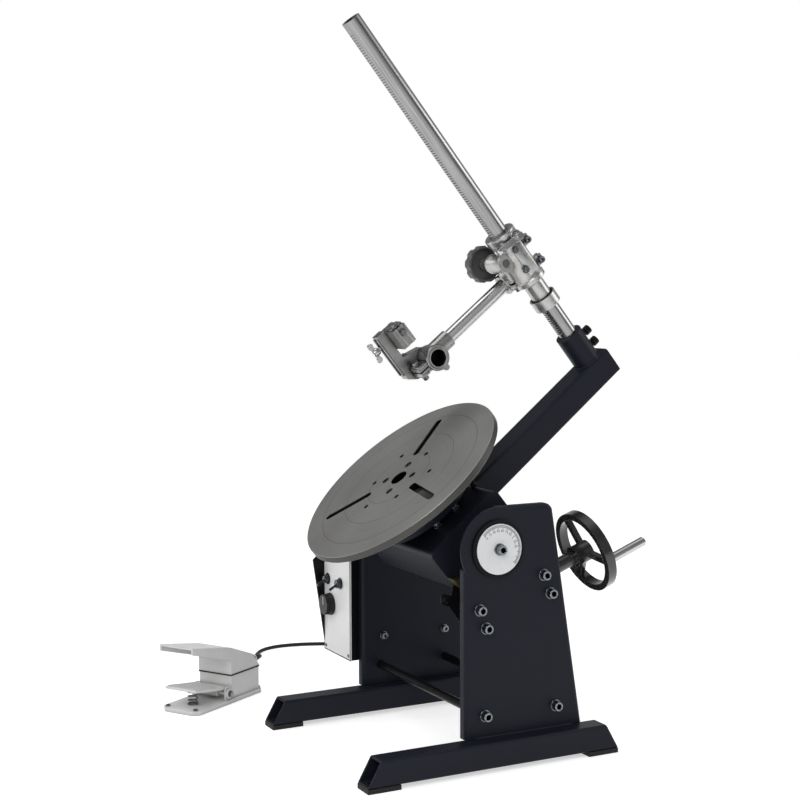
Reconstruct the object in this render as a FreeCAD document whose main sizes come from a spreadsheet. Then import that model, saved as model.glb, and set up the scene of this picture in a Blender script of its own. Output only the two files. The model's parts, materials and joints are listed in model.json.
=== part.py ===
import FreeCAD, Part
import math
import os
import re
from types import SimpleNamespace

import Sketcher
from FreeCAD import Placement, Rotation, Vector

# Welding positioner: two cheeks on floor tubes carry a tilting head. A worm drive tilts the head, which
# carries a rotary faceplate and a bent arm with a rack column, a cross arm and a torch holder. A control
# box hangs on the far cheek and a foot switch lies beside it.
# X runs from the far cheek to the near cheek, Y to the rear, Z up. The origin is on the floor.
SIZES = (
    # Floor tubes
    ("foot_length", 375, "floor tube length"),
    ("foot_spacing", 310, "distance between floor tube centres"),
    ("foot_width", 31.3, "floor tube width"),
    ("foot_height", 33.8, "floor tube height"),
    ("foot_wall", 2.6, "floor tube wall"),
    ("foot_bevel", 19.3, "run of the slanted tube end"),
    ("foot_corner", 3, "floor tube corner radius"),
    ("pad_length", 46.3, "floor pad length"),
    ("pad_height", 6.3, "floor pad thickness"),
    ("anchor_spacing", 351.2, "distance between floor bolt holes along a tube"),
    ("anchor_radius", 4.5, "floor bolt hole radius"),
    # Cheeks
    ("sheet_wall", 3, "cheek sheet thickness"),
    ("near_face", 145, "outer face of the near cheek web"),
    ("far_face", -162, "inner face of the far cheek web"),
    ("cheek_front", -35, "front edge of the cheeks"),
    ("cheek_rear_top", 98, "rear edge at the top"),
    ("cheek_rear_foot", 146, "rear edge at the floor tubes"),
    ("cheek_flange", 14, "depth of the folded edges"),
    ("cheek_bend", 6, "outer bend radius of the folded edges"),
    ("cheek_corner", 12, "rear top corner radius"),
    ("nose_radius", 54.5, "radius of the web round the tilt axis"),
    # Tilt axis
    ("tilt_axis_y", 13.2, "tilt axis from the middle of the feet"),
    ("tilt_axis_z", 288.1, "tilt axis above the floor"),
    ("tilt_angle", 39.32, "tilt of the faceplate from level"),
    ("run_gap", 0.05, "radial clearance of running fits"),
    ("side_gap", 0.3, "clearance between faces that pass each other"),
    ("trunnion_radius", 15, "trunnion shaft radius"),
    ("trunnion_collar", 26, "trunnion collar radius"),
    ("trunnion_collar_length", 3, "trunnion collar length"),
    ("bush_radius", 19, "trunnion bush barrel radius"),
    ("bush_depth", 6, "bush length inside the web"),
    ("bearing_cap_radius", 38.5, "round bearing cap on each cheek"),
    ("bearing_cap_length", 3.5, "bearing cap thickness"),
    ("dial_radius", 33.2, "tilt dial radius"),
    ("dial_wall", 1.5, "tilt dial thickness"),
    ("dial_screw_radius", 6.5, "dial screw head radius"),
    ("dial_screw_head", 8, "dial screw head height"),
    ("socket_radius", 3.4, "hexagon socket corner radius"),
    ("socket_depth", 4, "hexagon socket depth"),
    # Tie rods
    ("rod_radius", 6, "tie rod radius"),
    ("rod_front_y", -5.5, "front tie rod"),
    ("rod_rear_y", 103.3, "rear tie rod"),
    ("rod_z", 69.3, "tie rod height"),
    # Worm drive
    ("worm_x", 110, "worm shaft from the machine centre line"),
    ("worm_slope", 20.9, "slope of the worm shaft, rising to the rear"),
    ("wheel_teeth", 40, "teeth of the full worm wheel"),
    ("wheel_module", 3.1, "worm wheel module"),
    ("wheel_depth", 2.2, "worm wheel tooth depth in modules"),
    ("wheel_width", 18, "worm wheel width"),
    ("wheel_hub", 26, "worm wheel hub radius"),
    ("wheel_end_drop", 41.1, "front end of the sector below the tilt axis"),
    ("wheel_rear_angle", 78, "rear end of the sector from straight down"),
    ("worm_radius", 11.5, "worm crest radius"),
    ("worm_length", 58, "worm thread length"),
    ("worm_depth", 4, "worm thread depth"),
    ("worm_journal", 7, "worm shaft journal radius"),
    ("block_spacing", 105.2, "distance between the worm bearing blocks"),
    ("block_length", 14, "worm bearing block length"),
    ("block_depth", 42, "worm bearing block from web to free face"),
    ("block_width", 40, "worm bearing block across the shaft"),
    ("handwheel_radius", 57.5, "handwheel rim radius"),
    ("handwheel_width", 13.5, "handwheel rim width"),
    ("handwheel_rim", 9, "handwheel rim thickness"),
    ("handwheel_front", 136.5, "rim front from the middle of the worm"),
    ("handwheel_hub", 14.5, "handwheel hub radius"),
    ("handwheel_hub_front", 121, "hub front from the middle of the worm"),
    ("shaft_sleeve", 10, "sleeve radius between bearing and handwheel"),
    ("handwheel_dish", 3, "hub set back from the rear of the rim"),
    ("spoke_width", 9, "handwheel spoke width"),
    ("spoke_depth", 7, "handwheel spoke depth"),
    ("spoke_set", 1, "spokes set back from the rim front and let into the rim"),
    ("spoke_angle", 8, "angle of the spoke that carries the handle"),
    ("grip_orbit", 49.5, "handle axis from the handwheel axis"),
    ("grip_length", 54, "revolving handle length"),
    ("grip_radius", 6.5, "revolving handle radius"),
    ("grip_pin", 3, "handle pin radius"),
    ("grip_stop", 4, "handle pin head radius"),
    ("grip_stop_wall", 2, "handle pin head thickness"),
    # Head
    ("head_near", 98, "near end of the head"),
    ("head_far", -114, "far end of the head"),
    ("head_half", 64, "half width of the head"),
    ("head_top", 40, "head top above the tilt axis"),
    ("head_skirt", 22, "head skirt below the tilt axis"),
    ("head_wall", 5, "head plate thickness"),
    ("head_bend", 8, "head bend radius"),
    ("centre_x", -8, "plane of the faceplate axis and the arm"),
    # Faceplate
    ("table_radius", 155, "faceplate radius"),
    ("table_wall", 10, "faceplate thickness"),
    ("table_face", 104, "faceplate face above the tilt axis"),
    ("table_bore", 12.8, "faceplate bore radius"),
    ("slot_start", 52, "faceplate slot start"),
    ("slot_stop", 118, "faceplate slot end"),
    ("slot_width", 11.5, "faceplate slot width"),
    ("slot_angle", -8.5, "first faceplate slot"),
    ("slot_count", 3, "faceplate slots"),
    ("plate_screw_orbit", 27, "faceplate screw circle radius"),
    ("plate_screw_angle", 21, "first faceplate screw"),
    ("plate_screw_count", 4, "faceplate screws"),
    ("plate_screw_sink", 5.6, "counterbore radius"),
    ("plate_screw_depth", 6, "counterbore depth"),
    ("tapped_radius", 3.8, "tapped hole radius"),
    ("tapped_outer_orbit", 60, "outer tapped hole circle radius"),
    ("tapped_outer_angle", 22, "first outer tapped hole"),
    ("tapped_inner_orbit", 50, "inner tapped hole circle radius"),
    ("tapped_inner_angle", 82, "first inner tapped hole"),
    ("rim_chamfer", 1, "faceplate rim chamfer"),
    ("housing_radius", 48, "spindle housing radius on the head"),
    ("housing_flange", 77, "spindle housing flange radius"),
    ("housing_step", 10, "spindle housing height below its flange"),
    ("housing_flange_wall", 8, "spindle housing flange thickness"),
    ("housing_neck", 66, "spindle housing neck radius"),
    ("housing_neck_height", 4, "spindle housing neck height"),
    ("spindle_radius", 30, "spindle radius"),
    ("spindle_end", 18, "spindle end above the tilt axis"),
    ("hub_radius", 62, "spindle flange radius under the faceplate"),
    ("gearbox_half_x", 56, "gearbox half length"),
    ("gearbox_half_y", 50, "gearbox half width"),
    ("gearbox_bottom", -18, "gearbox bottom above the tilt axis"),
    ("motor_radius", 25, "drive motor radius"),
    ("motor_height", 8, "drive motor axis above the tilt axis"),
    # Bent arm
    ("arm_width", 40, "arm tube width"),
    ("arm_bottom", -12, "arm underside above the tilt axis"),
    ("arm_end", 361.5, "arm end from the tilt axis"),
    ("arm_wall", 3, "arm tube wall"),
    ("arm_corner", 4, "arm tube corner radius"),
    ("column_v", 334.2, "column axis from the tilt axis"),
    ("sleeve_radius", 20, "column sleeve radius"),
    ("sleeve_top", 78.5, "column sleeve top above the tilt axis"),
    ("set_screw_low", 41.7, "lower sleeve screw"),
    ("set_screw_high", 62.1, "upper sleeve screw"),
    ("set_screw_radius", 4, "sleeve screw radius"),
    ("set_screw_stand", 3.8, "sleeve screw head stands off the sleeve"),
    # Column and racks
    ("column_radius", 13.45, "column radius"),
    ("column_bore", 10, "column bore radius"),
    ("column_top", 621, "column top above the tilt axis"),
    ("flank_angle", 20, "slope of all tooth flanks"),
    ("rack_module", 1.25, "module of both racks"),
    ("rack_depth", 1.7, "depth of the rack teeth"),
    ("column_rack_start", 88, "first rack tooth on the column"),
    ("column_rack_stop", 608, "last rack tooth on the column"),
    ("collar_radius", 20, "stop collar radius"),
    ("collar_bottom", 133, "stop collar bottom above the tilt axis"),
    ("collar_height", 17, "stop collar height"),
    ("collar_recess", 17.3, "stop collar recess radius"),
    ("collar_recess_depth", 10, "stop collar recess depth"),
    # Cross clamp
    ("cross_x", -38, "cross arm axis"),
    ("cross_n", 190, "cross arm axis above the tilt axis"),
    ("cross_radius", 10, "cross arm radius"),
    ("cross_bore", 7, "cross arm bore radius"),
    ("cross_start", 171, "cross arm front end"),
    ("cross_stop", 365, "cross arm rear end"),
    ("boss_radius", 21.5, "clamp boss round the column"),
    ("boss_bottom", 178, "clamp boss bottom"),
    ("boss_top", 263, "clamp boss top"),
    ("guide_radius", 15.2, "clamp guide tube radius"),
    ("cross_boss_radius", 16.5, "clamp boss round the cross arm"),
    ("cross_boss_start", 307, "cross boss front"),
    ("cross_boss_stop", 360, "cross boss rear"),
    ("web_width", 36, "clamp web across X"),
    ("web_length", 28, "clamp web along the cross arm"),
    ("web_top", 250, "clamp web top"),
    ("pinion_v", 309.6, "column pinion axis"),
    ("pinion_n", 228, "column pinion height"),
    ("pinion_radius", 10.6, "column pinion radius"),
    ("pinion_boss", 14, "pinion boss radius"),
    ("pinion_shaft", 6, "pinion shaft radius"),
    ("pinion_teeth", 15, "pinion teeth"),
    ("pinion_start", -50, "pinion boss far end"),
    ("pinion_stop", 8, "pinion boss near end"),
    ("knob_radius", 26.5, "knob rim radius"),
    ("knob_length", 12, "knob length"),
    ("knob_wall", 3, "knob web thickness"),
    ("knob_rim", 4, "knob rim thickness"),
    ("knob_hub", 8, "knob hub radius"),
    ("knob_scallops", 9, "scallops round the knob"),
    ("scallop_radius", 7, "knob scallop radius"),
    ("scallop_depth", 2, "knob scallop depth"),
    ("lug_width", 12, "clamp lug width"),
    ("lug_reach", 12, "clamp lug reach"),
    ("lug_height", 16, "clamp lug height"),
    ("lug_slit", 2, "slit between clamp lugs"),
    ("lug_low", 186, "lower clamp lug"),
    ("lug_high", 222, "upper clamp lug"),
    ("lever_v", 343, "clamp lever pivot"),
    ("lever_n", 250, "clamp lever pivot height"),
    ("lever_length", 38, "clamp lever length"),
    ("lever_width", 8, "clamp lever width"),
    ("lever_wall", 5, "clamp lever thickness"),
    ("lever_boss", 6.5, "clamp lever boss radius"),
    ("lever_pin", 4, "clamp lever pin radius"),
    ("lever_x", 16, "clamp lever inner face"),
    # Torch holder
    ("ring_v", 156, "torch ring axis"),
    ("ring_n", 185, "torch ring height"),
    ("ring_radius", 17.8, "torch ring outer radius"),
    ("ring_near", -22, "torch ring near face"),
    ("ring_far", -50, "torch ring far face"),
    ("ring_lug_reach", 34, "torch ring lug reach from the ring axis"),
    ("ring_lug_height", 14, "torch ring lug height"),
    ("ring_lug_set", 2, "torch ring lug set in from the ring faces"),
    ("socket_boss", 13, "torch ring socket radius"),
    ("socket_length", 18, "torch ring socket length"),
    ("pivot_radius", 14.4, "torch holder pivot radius"),
    ("pivot_bore", 12.2, "torch holder pivot bore radius"),
    ("pivot_over", 1, "torch holder pivot past the torch ring"),
    ("block_v", 111.5, "torch block front edge"),
    ("block_bottom", 172, "torch block bottom"),
    ("block_top", 258, "torch block top"),
    ("block_back", 14, "torch block upright thickness"),
    ("block_heel", 10, "height of the slanted front corner"),
    ("block_toe", 12, "run of the slanted front corner"),
    ("block_point", 6, "point under the torch block"),
    ("block_flat", 4, "flats beside the torch block pivot"),
    ("block_shoulder", 12, "shoulder above the torch block pivot"),
    ("block_wall", 16, "torch block thickness"),
    ("jaw_v", 128, "sliding jaw front"),
    ("jaw_depth", 22, "sliding jaw depth"),
    ("jaw_bottom", 226, "sliding jaw bottom"),
    ("jaw_height", 30, "sliding jaw height"),
    ("jaw_x", 24, "sliding jaw across X"),
    ("wing_radius", 3, "wing screw radius"),
    ("wing_length", 16, "wing screw length"),
    ("wing_span", 22, "wing screw span"),
    ("arm_knob_length", 9, "cross arm knob length"),
    ("arm_knob_radius", 12, "cross arm knob radius"),
    ("tee_v", 348, "cross arm pinion axis"),
    ("tee_shaft", 5, "cross arm pinion shaft radius"),
    # Control box
    ("box_near", -176.5, "near side of the control box"),
    ("box_far", -267, "far side of the control box"),
    ("box_front", -50, "front of the control box"),
    ("box_rear", 115, "rear of the control box"),
    ("box_bottom", 76, "bottom of the control box"),
    ("box_top", 245, "top of the control box"),
    ("box_wall", 1.5, "control box wall"),
    ("panel_wall", 2, "front panel thickness"),
    ("panel_over", 3.5, "front panel past the near side"),
    ("standoff_radius", 6, "control box standoff radius"),
    ("standoff_front_y", -0.8, "front control box standoff"),
    ("standoff_rear_y", 101.7, "rear control box standoff"),
    ("standoff_z", 112.7, "control box standoff height"),
    ("guard_wall", 2, "side guard thickness"),
    ("guard_reach", 19, "side guard reach"),
    ("guard_top", 232, "side guard top"),
    ("guard_nose", 215, "side guard widest point"),
    ("guard_bottom", 88, "side guard bottom"),
    ("toggle_left_x", -252, "left toggle switch"),
    ("toggle_right_x", -207.5, "right toggle switch"),
    ("toggle_z", 187, "toggle switch height"),
    ("toggle_bush", 6, "toggle bush radius"),
    ("toggle_bush_wall", 1.5, "toggle bush wall"),
    ("toggle_bush_length", 7, "toggle bush length"),
    ("toggle_ball", 3.1, "toggle ball radius"),
    ("toggle_pin", 1, "toggle pivot pin radius"),
    ("toggle_lever", 17, "toggle lever length"),
    ("toggle_lever_radius", 2.2, "toggle lever tip radius"),
    ("toggle_root_radius", 1.5, "toggle lever root radius"),
    ("toggle_droop", 30, "toggle lever angle below level"),
    ("speed_knob_x", -242, "speed knob"),
    ("speed_knob_z", 150, "speed knob height"),
    ("speed_knob_radius", 15, "speed knob radius"),
    ("speed_knob_length", 13, "speed knob length"),
    ("speed_shaft", 3, "speed knob shaft radius"),
    ("inlet_radius", 9, "mains inlet radius"),
    ("inlet_length", 14, "mains inlet length"),
    ("inlet_y", 80, "mains inlet from the middle of the feet"),
    # Foot switch
    ("pedal_x", -327.6, "foot switch middle"),
    ("pedal_y", -209, "foot switch middle"),
    ("pedal_turn", 32.1, "foot switch turned on the floor"),
    ("pedal_width", 69, "foot switch base width"),
    ("pedal_length", 168, "foot switch base length"),
    ("pedal_base_wall", 6.5, "foot switch base thickness"),
    ("pedal_chamfer", 9, "foot switch base corner chamfer"),
    ("case_width", 62, "foot switch case width"),
    ("case_front", 4, "foot switch case front"),
    ("case_rear", 76, "foot switch case rear"),
    ("gasket_z", 42, "gasket height"),
    ("gasket_wall", 1.6, "gasket thickness"),
    ("gasket_over", 1, "gasket past the case"),
    ("case_top_front", 85, "upper case top at the front"),
    ("case_top_rear", 64, "upper case top at the rear slope"),
    ("case_slope", 59, "start of the rear slope"),
    ("hood_front", -87, "hood front edge"),
    ("hood_front_z", 102, "hood front height"),
    ("hood_wall", 3, "hood thickness"),
    ("hood_side", 20, "hood side height"),
    ("tread_front", -78, "tread front edge"),
    ("tread_rear", 0, "tread rear edge"),
    ("tread_width", 58, "tread width"),
    ("tread_wall", 4, "tread thickness"),
    ("tread_front_z", 33, "tread height at the front"),
    ("tread_lug", 10, "tread lug round the pin"),
    ("tread_rear_z", 21, "tread height at the rear"),
    ("pin_radius", 3, "tread pin radius"),
    ("pin_y", -4, "tread pin from the middle of the base"),
    ("ear_wall", 3, "tread pin ear thickness"),
    ("ear_length", 14, "tread pin ear length"),
    ("ear_height", 26, "tread pin ear height"),
    ("spring_y", -50, "tread spring from the middle of the base"),
    ("spring_radius", 8, "tread spring radius"),
    ("spring_wire", 1.4, "tread spring wire radius"),
    ("spring_turns", 4, "tread spring turns"),
    ("gland_x", 16, "cord gland from the pedal middle line"),
    ("gland_z", 50, "cord gland height"),
    ("gland_mouth", 82, "mouth of the cord gland from the middle of the base"),
    ("box_gland_y", 39.2, "cord gland of the control box"),
    ("gland_radius", 6.5, "cord gland radius"),
    ("gland_length", 8, "cord gland length"),
    ("cord_radius", 3, "cord radius"),
    ("coil_x", -262, "cord coil middle"),
    ("coil_y", 170, "cord coil middle"),
    ("coil_orbit", 36, "cord coil mean radius"),
    ("coil_section", 7.3, "cord coil section radius"),
)

doc = FreeCAD.newDocument("WeldingPositioner")
sheet = doc.addObject("Spreadsheet::Sheet", "Sizes")
for row, (alias, value, meaning) in enumerate(SIZES, start=1):
    sheet.set(f"A{row}", alias)
    sheet.set(f"B{row}", str(value))
    sheet.setAlias(f"B{row}", alias)
    sheet.set(f"C{row}", meaning)
doc.recompute()

NAMES = {alias for alias, value, meaning in SIZES}
size = SimpleNamespace(**{alias: sheet.get(alias) for alias in NAMES})

BIG = 1000
# How far a cutting tool stands past the face it cuts, and the slack when a face or an edge is looked up.
PAST = 0.02
SLACK = 0.01
# Share of a straight run of the cord that a bend may take, and the shape of one worm thread along its pitch.
BEND_SHARE = 0.45
THREAD = (0.2, 0.36, 0.64, 0.8)
# Tooth gaps of the sector, counted from the one over the worm.
FRONT_GAP = -5
REAR_GAP = 8
TURNED = {
    "x": Rotation(Vector(0, 1, 0), 90),
    "y": Rotation(Vector(1, 0, 0), -90),
    "z": Rotation(),
}
# Frames of the pieces that are modelled upright: the head about its tilt axis, the worm shaft about the
# middle of the worm, and the foot switch about the middle of its base.
FRAMES = {
    "head": (("0", "tilt_axis_y", "tilt_axis_z"), (1, 0, 0), "tilt_angle"),
    "table": (("centre_x", "tilt_axis_y", "tilt_axis_z"), (1, 0, 0), "tilt_angle"),
    "worm": (
        (
            "worm_x",
            "tilt_axis_y + (wheel_reach + worm_radius + side_gap) * sin(worm_slope)",
            "tilt_axis_z - (wheel_reach + worm_radius + side_gap) * cos(worm_slope)",
        ),
        (1, 0, 0),
        "worm_slope - 90",
    ),
    "pedal": (("pedal_x", "pedal_y", "0"), (0, 0, 1), "pedal_turn"),
}
SHARED = {
    "wheel_reach": "(wheel_teeth / 2 + 1) * wheel_module",
    "box_middle": "(box_near + box_far) / 2",
    "guide_bottom": "collar_bottom + collar_height + side_gap",
    "tee_n": "cross_n - cross_radius - tee_shaft - side_gap",
}
NODES = {}


def formula(text):
    """Turns plain size names into references to the sheet's cells."""
    text = str(text)
    for name, meaning in SHARED.items():
        text = re.sub(rf"\b{name}\b", f"({meaning})", text)
    return re.sub(r"[a-z][a-z_]*", lambda found: "Sizes." + found[0] if found[0] in NAMES else found[0], text)


def bind(item, **cells):
    for path, text in cells.items():
        item.setExpression(path, formula(text))


def at(item, x, y, z, axis="z"):
    item.Placement = Placement(Vector(), TURNED[axis])
    for path, text in (("x", x), ("y", y), ("z", z)):
        item.setExpression("Placement.Base." + path, formula(text))
    return item


def box(length, width, height, x, y, z):
    item = doc.addObject("Part::Box", "Box")
    bind(item, Length=length, Width=width, Height=height)
    return at(item, x, y, z)


def rod(radius, length, x, y, z, axis="z"):
    item = doc.addObject("Part::Cylinder", "Rod")
    bind(item, Radius=radius, Height=length)
    return at(item, x, y, z, axis)


def fuse(*pieces):
    item = doc.addObject("Part::MultiFuse", "Fusion")
    item.Shapes = list(pieces)
    item.Refine = False
    return item


def cut(base, *tools):
    item = doc.addObject("Part::Cut", "Cut")
    item.Base = base
    item.Tool = tools[0] if len(tools) == 1 else fuse(*tools)
    item.Refine = False
    return item


def formed(label, shape):
    """A piece whose form no feature gives: its shape comes from code that reads the sheet."""
    item = doc.addObject("Part::Feature", label)
    item.Shape = Part.makeCompound([shape])
    return item


def framed(item, frame):
    """Sets a piece that is modelled upright in its frame."""
    origin, axis, angle = FRAMES[frame]
    turn = "create(<<rotation>>; create(<<vector>>; {}; {}; {}); {})".format(*axis, formula(angle))
    base = "create(<<vector>>; {}; {}; {})".format(*(formula(text) for text in origin))
    item.setExpression("Placement", f"create(<<placement>>; {base}; {turn})")
    return item


def node(label, item, frame=None):
    """Names a finished piece and sets it in its frame."""
    item.Label = label
    NODES[label] = framed(item, frame) if frame else item
    return item


def held(item):
    """A compound round one primitive, so that it can take a frame."""
    group = doc.addObject("Part::Compound", "Group")
    group.Links = [item]
    return group


# Sketches and PartDesign features

def plane(owner, role):
    return next(item for item in owner.Origin.OriginFeatures if item.Role == role)


def sketch(owner, role, lift="0"):
    item = owner.newObject("Sketcher::SketchObject", "Sketch")
    item.AttachmentSupport = (plane(owner, role), [""])
    item.MapMode = "FlatFace"
    item.setExpression("AttachmentOffset.Base.z", formula(lift))
    return item


def fix_point(item, curve, end, x, y):
    for kind, text in (("DistanceX", x), ("DistanceY", y)):
        index = item.addConstraint(Sketcher.Constraint(kind, -1, 1, curve, end, 1.0))
        item.setExpression(f"Constraints[{index}]", formula(text))


def outline(item, *points):
    """A closed outline of straight lines, each corner fixed from the sketch's origin."""
    first = item.GeometryCount
    count = len(points)
    corners = []
    for step in range(count):
        angle = step * math.tau / count
        corners.append(Vector(math.cos(angle), math.sin(angle)))
    for step, corner in enumerate(corners):
        item.addGeometry(Part.LineSegment(corner, corners[(step + 1) % count]), False)
    for step, (x, y) in enumerate(points):
        following = first + (step + 1) % count
        item.addConstraint(Sketcher.Constraint("Coincident", first + step, 2, following, 1))
        fix_point(item, first + step, 1, x, y)
    return item


def rectangle(item, x, y, width, height):
    right = f"({x}) + ({width})"
    top = f"({y}) + ({height})"
    return outline(item, (x, y), (right, y), (right, top), (x, top))


def circle(item, x, y, radius):
    curve = item.addGeometry(Part.Circle(Vector(1, 1), Vector(0, 0, 1), 1), False)
    fix_point(item, curve, 3, x, y)
    index = item.addConstraint(Sketcher.Constraint("Radius", curve, 1.0))
    item.setExpression(f"Constraints[{index}]", formula(radius))
    return item


def body(label):
    return doc.addObject("PartDesign::Body", label)


def pad(owner, profile, length, reverse=False, both=False):
    item = owner.newObject("PartDesign::Pad", "Pad")
    item.Profile = profile
    item.Reversed = reverse
    item.SideType = "Symmetric" if both else "One side"
    bind(item, Length=length)
    doc.recompute()
    return item


def pocket(owner, profile, length=None, reverse=False, both=False):
    before = owner.Shape.Volume
    item = owner.newObject("PartDesign::Pocket", "Pocket")
    item.Profile = profile
    item.Reversed = reverse
    item.SideType = "Symmetric" if both else "One side"
    if length is None:
        item.Type = "ThroughAll"
    else:
        bind(item, Length=length)
    doc.recompute()
    if item.Shape.Volume >= before:
        raise RuntimeError(f"{owner.Label}: a pocket cuts nothing")
    return item


def spin(owner, profile, role="Z_Axis"):
    item = owner.newObject("PartDesign::Revolution", "Revolution")
    item.Profile = profile
    item.ReferenceAxis = (plane(owner, role), [""])
    doc.recompute()
    return item


def around(owner, count, *features):
    item = owner.newObject("PartDesign::PolarPattern", "Pattern")
    item.Originals = list(features)
    item.Axis = (plane(owner, "Z_Axis"), [""])
    item.Angle = 360
    item.setExpression("Occurrences", formula(count))
    owner.Tip = item
    doc.recompute()
    return item


def edges(shape, chosen):
    return [f"Edge{index}" for index, edge in enumerate(shape.Edges, start=1) if chosen(edge)]


def faces(shape, chosen):
    return [f"Face{index}" for index, face in enumerate(shape.Faces, start=1) if chosen(face)]


def along(axis, *tests):
    """Picks straight edges that run along an axis and pass the tests."""
    direction = Vector(*[1 if name == axis else 0 for name in "xyz"])

    def chosen(edge):
        if not isinstance(edge.Curve, Part.Line) or abs(edge.Curve.Direction.dot(direction)) < 0.999:
            return False
        return all(test(edge.CenterOfMass) for test in tests)

    return chosen


def fillet(owner, radius, chosen):
    base = owner.Tip
    item = owner.newObject("PartDesign::Fillet", "Fillet")
    item.Base = (base, edges(base.Shape, chosen))
    bind(item, Radius=radius)
    doc.recompute()
    return item


def chamfer(owner, length, chosen):
    base = owner.Tip
    item = owner.newObject("PartDesign::Chamfer", "Chamfer")
    item.Base = (base, edges(base.Shape, chosen))
    bind(item, Size=length)
    doc.recompute()
    return item


def shell(owner, wall, chosen):
    base = owner.Tip
    item = owner.newObject("PartDesign::Thickness", "Shell")
    item.Base = (base, faces(base.Shape, chosen))
    item.Reversed = True
    item.Join = "Intersection"
    bind(item, Value=wall)
    doc.recompute()
    return item


def near(value, wanted):
    return abs(value - wanted) < SLACK


# Stand

def floor_tube(label, side):
    tube = body(label)
    half = "foot_length / 2"
    top = "pad_height + foot_height"
    profile = outline(
        sketch(tube, "YZ_Plane", f"{side} * foot_spacing / 2"),
        (f"-({half})", "pad_height"),
        (half, "pad_height"),
        (f"{half} - foot_bevel", top),
        (f"-({half} - foot_bevel)", top),
    )
    pad(tube, profile, "foot_width", both=True)
    fillet(tube, "foot_corner", along("y"))
    inside = rectangle(
        sketch(tube, "XZ_Plane"),
        f"{side} * foot_spacing / 2 - foot_width / 2 + foot_wall",
        "pad_height + foot_wall",
        "foot_width - 2 * foot_wall",
        "foot_height - 2 * foot_wall",
    )
    pocket(tube, inside, both=True)
    holes = sketch(tube, "XY_Plane")
    for end in (-1, 1):
        circle(holes, f"{side} * foot_spacing / 2", f"{end} * anchor_spacing / 2", "anchor_radius")
    pocket(tube, holes, "pad_height + foot_height / 2", reverse=True)
    return node(label, tube)


def floor_pads(label, side):
    pads = []
    for end in (-1, 1):
        x = f"{side} * foot_spacing / 2"
        middle = f"{end} * (foot_length - pad_length) / 2"
        front = f"{middle} - pad_length / 2"
        plate = box("foot_width", "pad_length", "pad_height", f"{x} - foot_width / 2", front, 0)
        pads.append(cut(plate, rod("anchor_radius", "pad_height", x, f"{end} * anchor_spacing / 2", 0)))
    group = doc.addObject("Part::Compound", "Pads")
    group.Links = pads
    return node(label, group)


def side_cheek(label, face):
    """Folded sheet: a web with edges folded back at the front, top and rear, and a round nose."""
    cheek = body(label)
    foot_top = size.pad_height + size.foot_height
    nose_bottom = "tilt_axis_z - sqrt(nose_radius * nose_radius - pow(tilt_axis_y - cheek_front; 2))"
    profile = outline(
        sketch(cheek, "YZ_Plane", face),
        ("cheek_front", "pad_height + foot_height"),
        ("cheek_rear_foot", "pad_height + foot_height"),
        ("cheek_rear_top", "tilt_axis_z + nose_radius"),
        ("tilt_axis_y", "tilt_axis_z + nose_radius"),
        ("cheek_front", nose_bottom),
    )
    pad(cheek, profile, "cheek_flange", reverse=True)
    outer = cheek.Shape.BoundBox.XMax
    top = size.tilt_axis_z + size.nose_radius
    rear = size.tilt_axis_y + size.cheek_corner
    fillet(cheek, "cheek_corner", along("x", lambda c: near(c.z, top), lambda c: c.y > rear))

    def folded(edge):
        c = edge.CenterOfMass
        if not near(c.x, outer) or near(c.z, foot_top):
            return False
        chord = size.cheek_front + SLACK < c.y < size.tilt_axis_y - SLACK
        return not chord

    fillet(cheek, "cheek_bend", folded)

    def opened(side):
        c = side.CenterOfMass
        if near(c.x, outer - size.cheek_flange) or near(c.z, foot_top):
            return True
        normal = side.normalAt(0, 0)
        slanted = normal.y < -SLACK and normal.z > SLACK and abs(normal.x) < SLACK
        return slanted and isinstance(side.Surface, Part.Plane)

    shell(cheek, "sheet_wall", opened)
    nose = circle(sketch(cheek, "YZ_Plane", face), "tilt_axis_y", "tilt_axis_z", "nose_radius")
    pad(cheek, nose, "sheet_wall", reverse=True)
    holes = circle(sketch(cheek, "YZ_Plane", face), "tilt_axis_y", "tilt_axis_z", "bush_radius")
    for y in ("rod_front_y", "rod_rear_y"):
        circle(holes, y, "rod_z", "set_screw_radius + run_gap")
    pocket(cheek, holes, "sheet_wall")
    return node(label, cheek)


def bearing(label, web, outward):
    """A flanged bush in a cheek web: the barrel reaches inside, the round cap covers the web outside."""
    inner = f"{web} - {outward} * (sheet_wall + bush_depth)"
    outer = f"{web} + {outward} * bearing_cap_length"
    barrel = f"abs(({outer}) - ({inner}))"
    start = inner if outward > 0 else outer
    cap = web if outward > 0 else outer
    solid = fuse(
        rod("bush_radius", barrel, start, "tilt_axis_y", "tilt_axis_z", "x"),
        rod("bearing_cap_radius", "bearing_cap_length", cap, "tilt_axis_y", "tilt_axis_z", "x"),
    )
    bore = rod("trunnion_radius + run_gap", barrel, start, "tilt_axis_y", "tilt_axis_z", "x")
    return node(label, cut(solid, bore))


def worm_block(label, end):
    """A bearing block of the worm shaft, screwed to the inside of the near web."""
    block = body(label)
    reach = "near_face - sheet_wall - worm_x"
    square = rectangle(
        sketch(block, "XY_Plane", f"{end} * block_spacing / 2 - block_length / 2"),
        f"{reach} - block_depth",
        "-block_width / 2",
        "block_depth",
        "block_width",
    )
    pad(block, square, "block_length")
    fillet(block, "foot_corner", along("z", lambda c: c.x < 0))
    bore = circle(sketch(block, "XY_Plane"), 0, 0, "worm_journal + run_gap")
    pocket(block, bore, both=True)
    return node(label, block, "worm")


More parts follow.
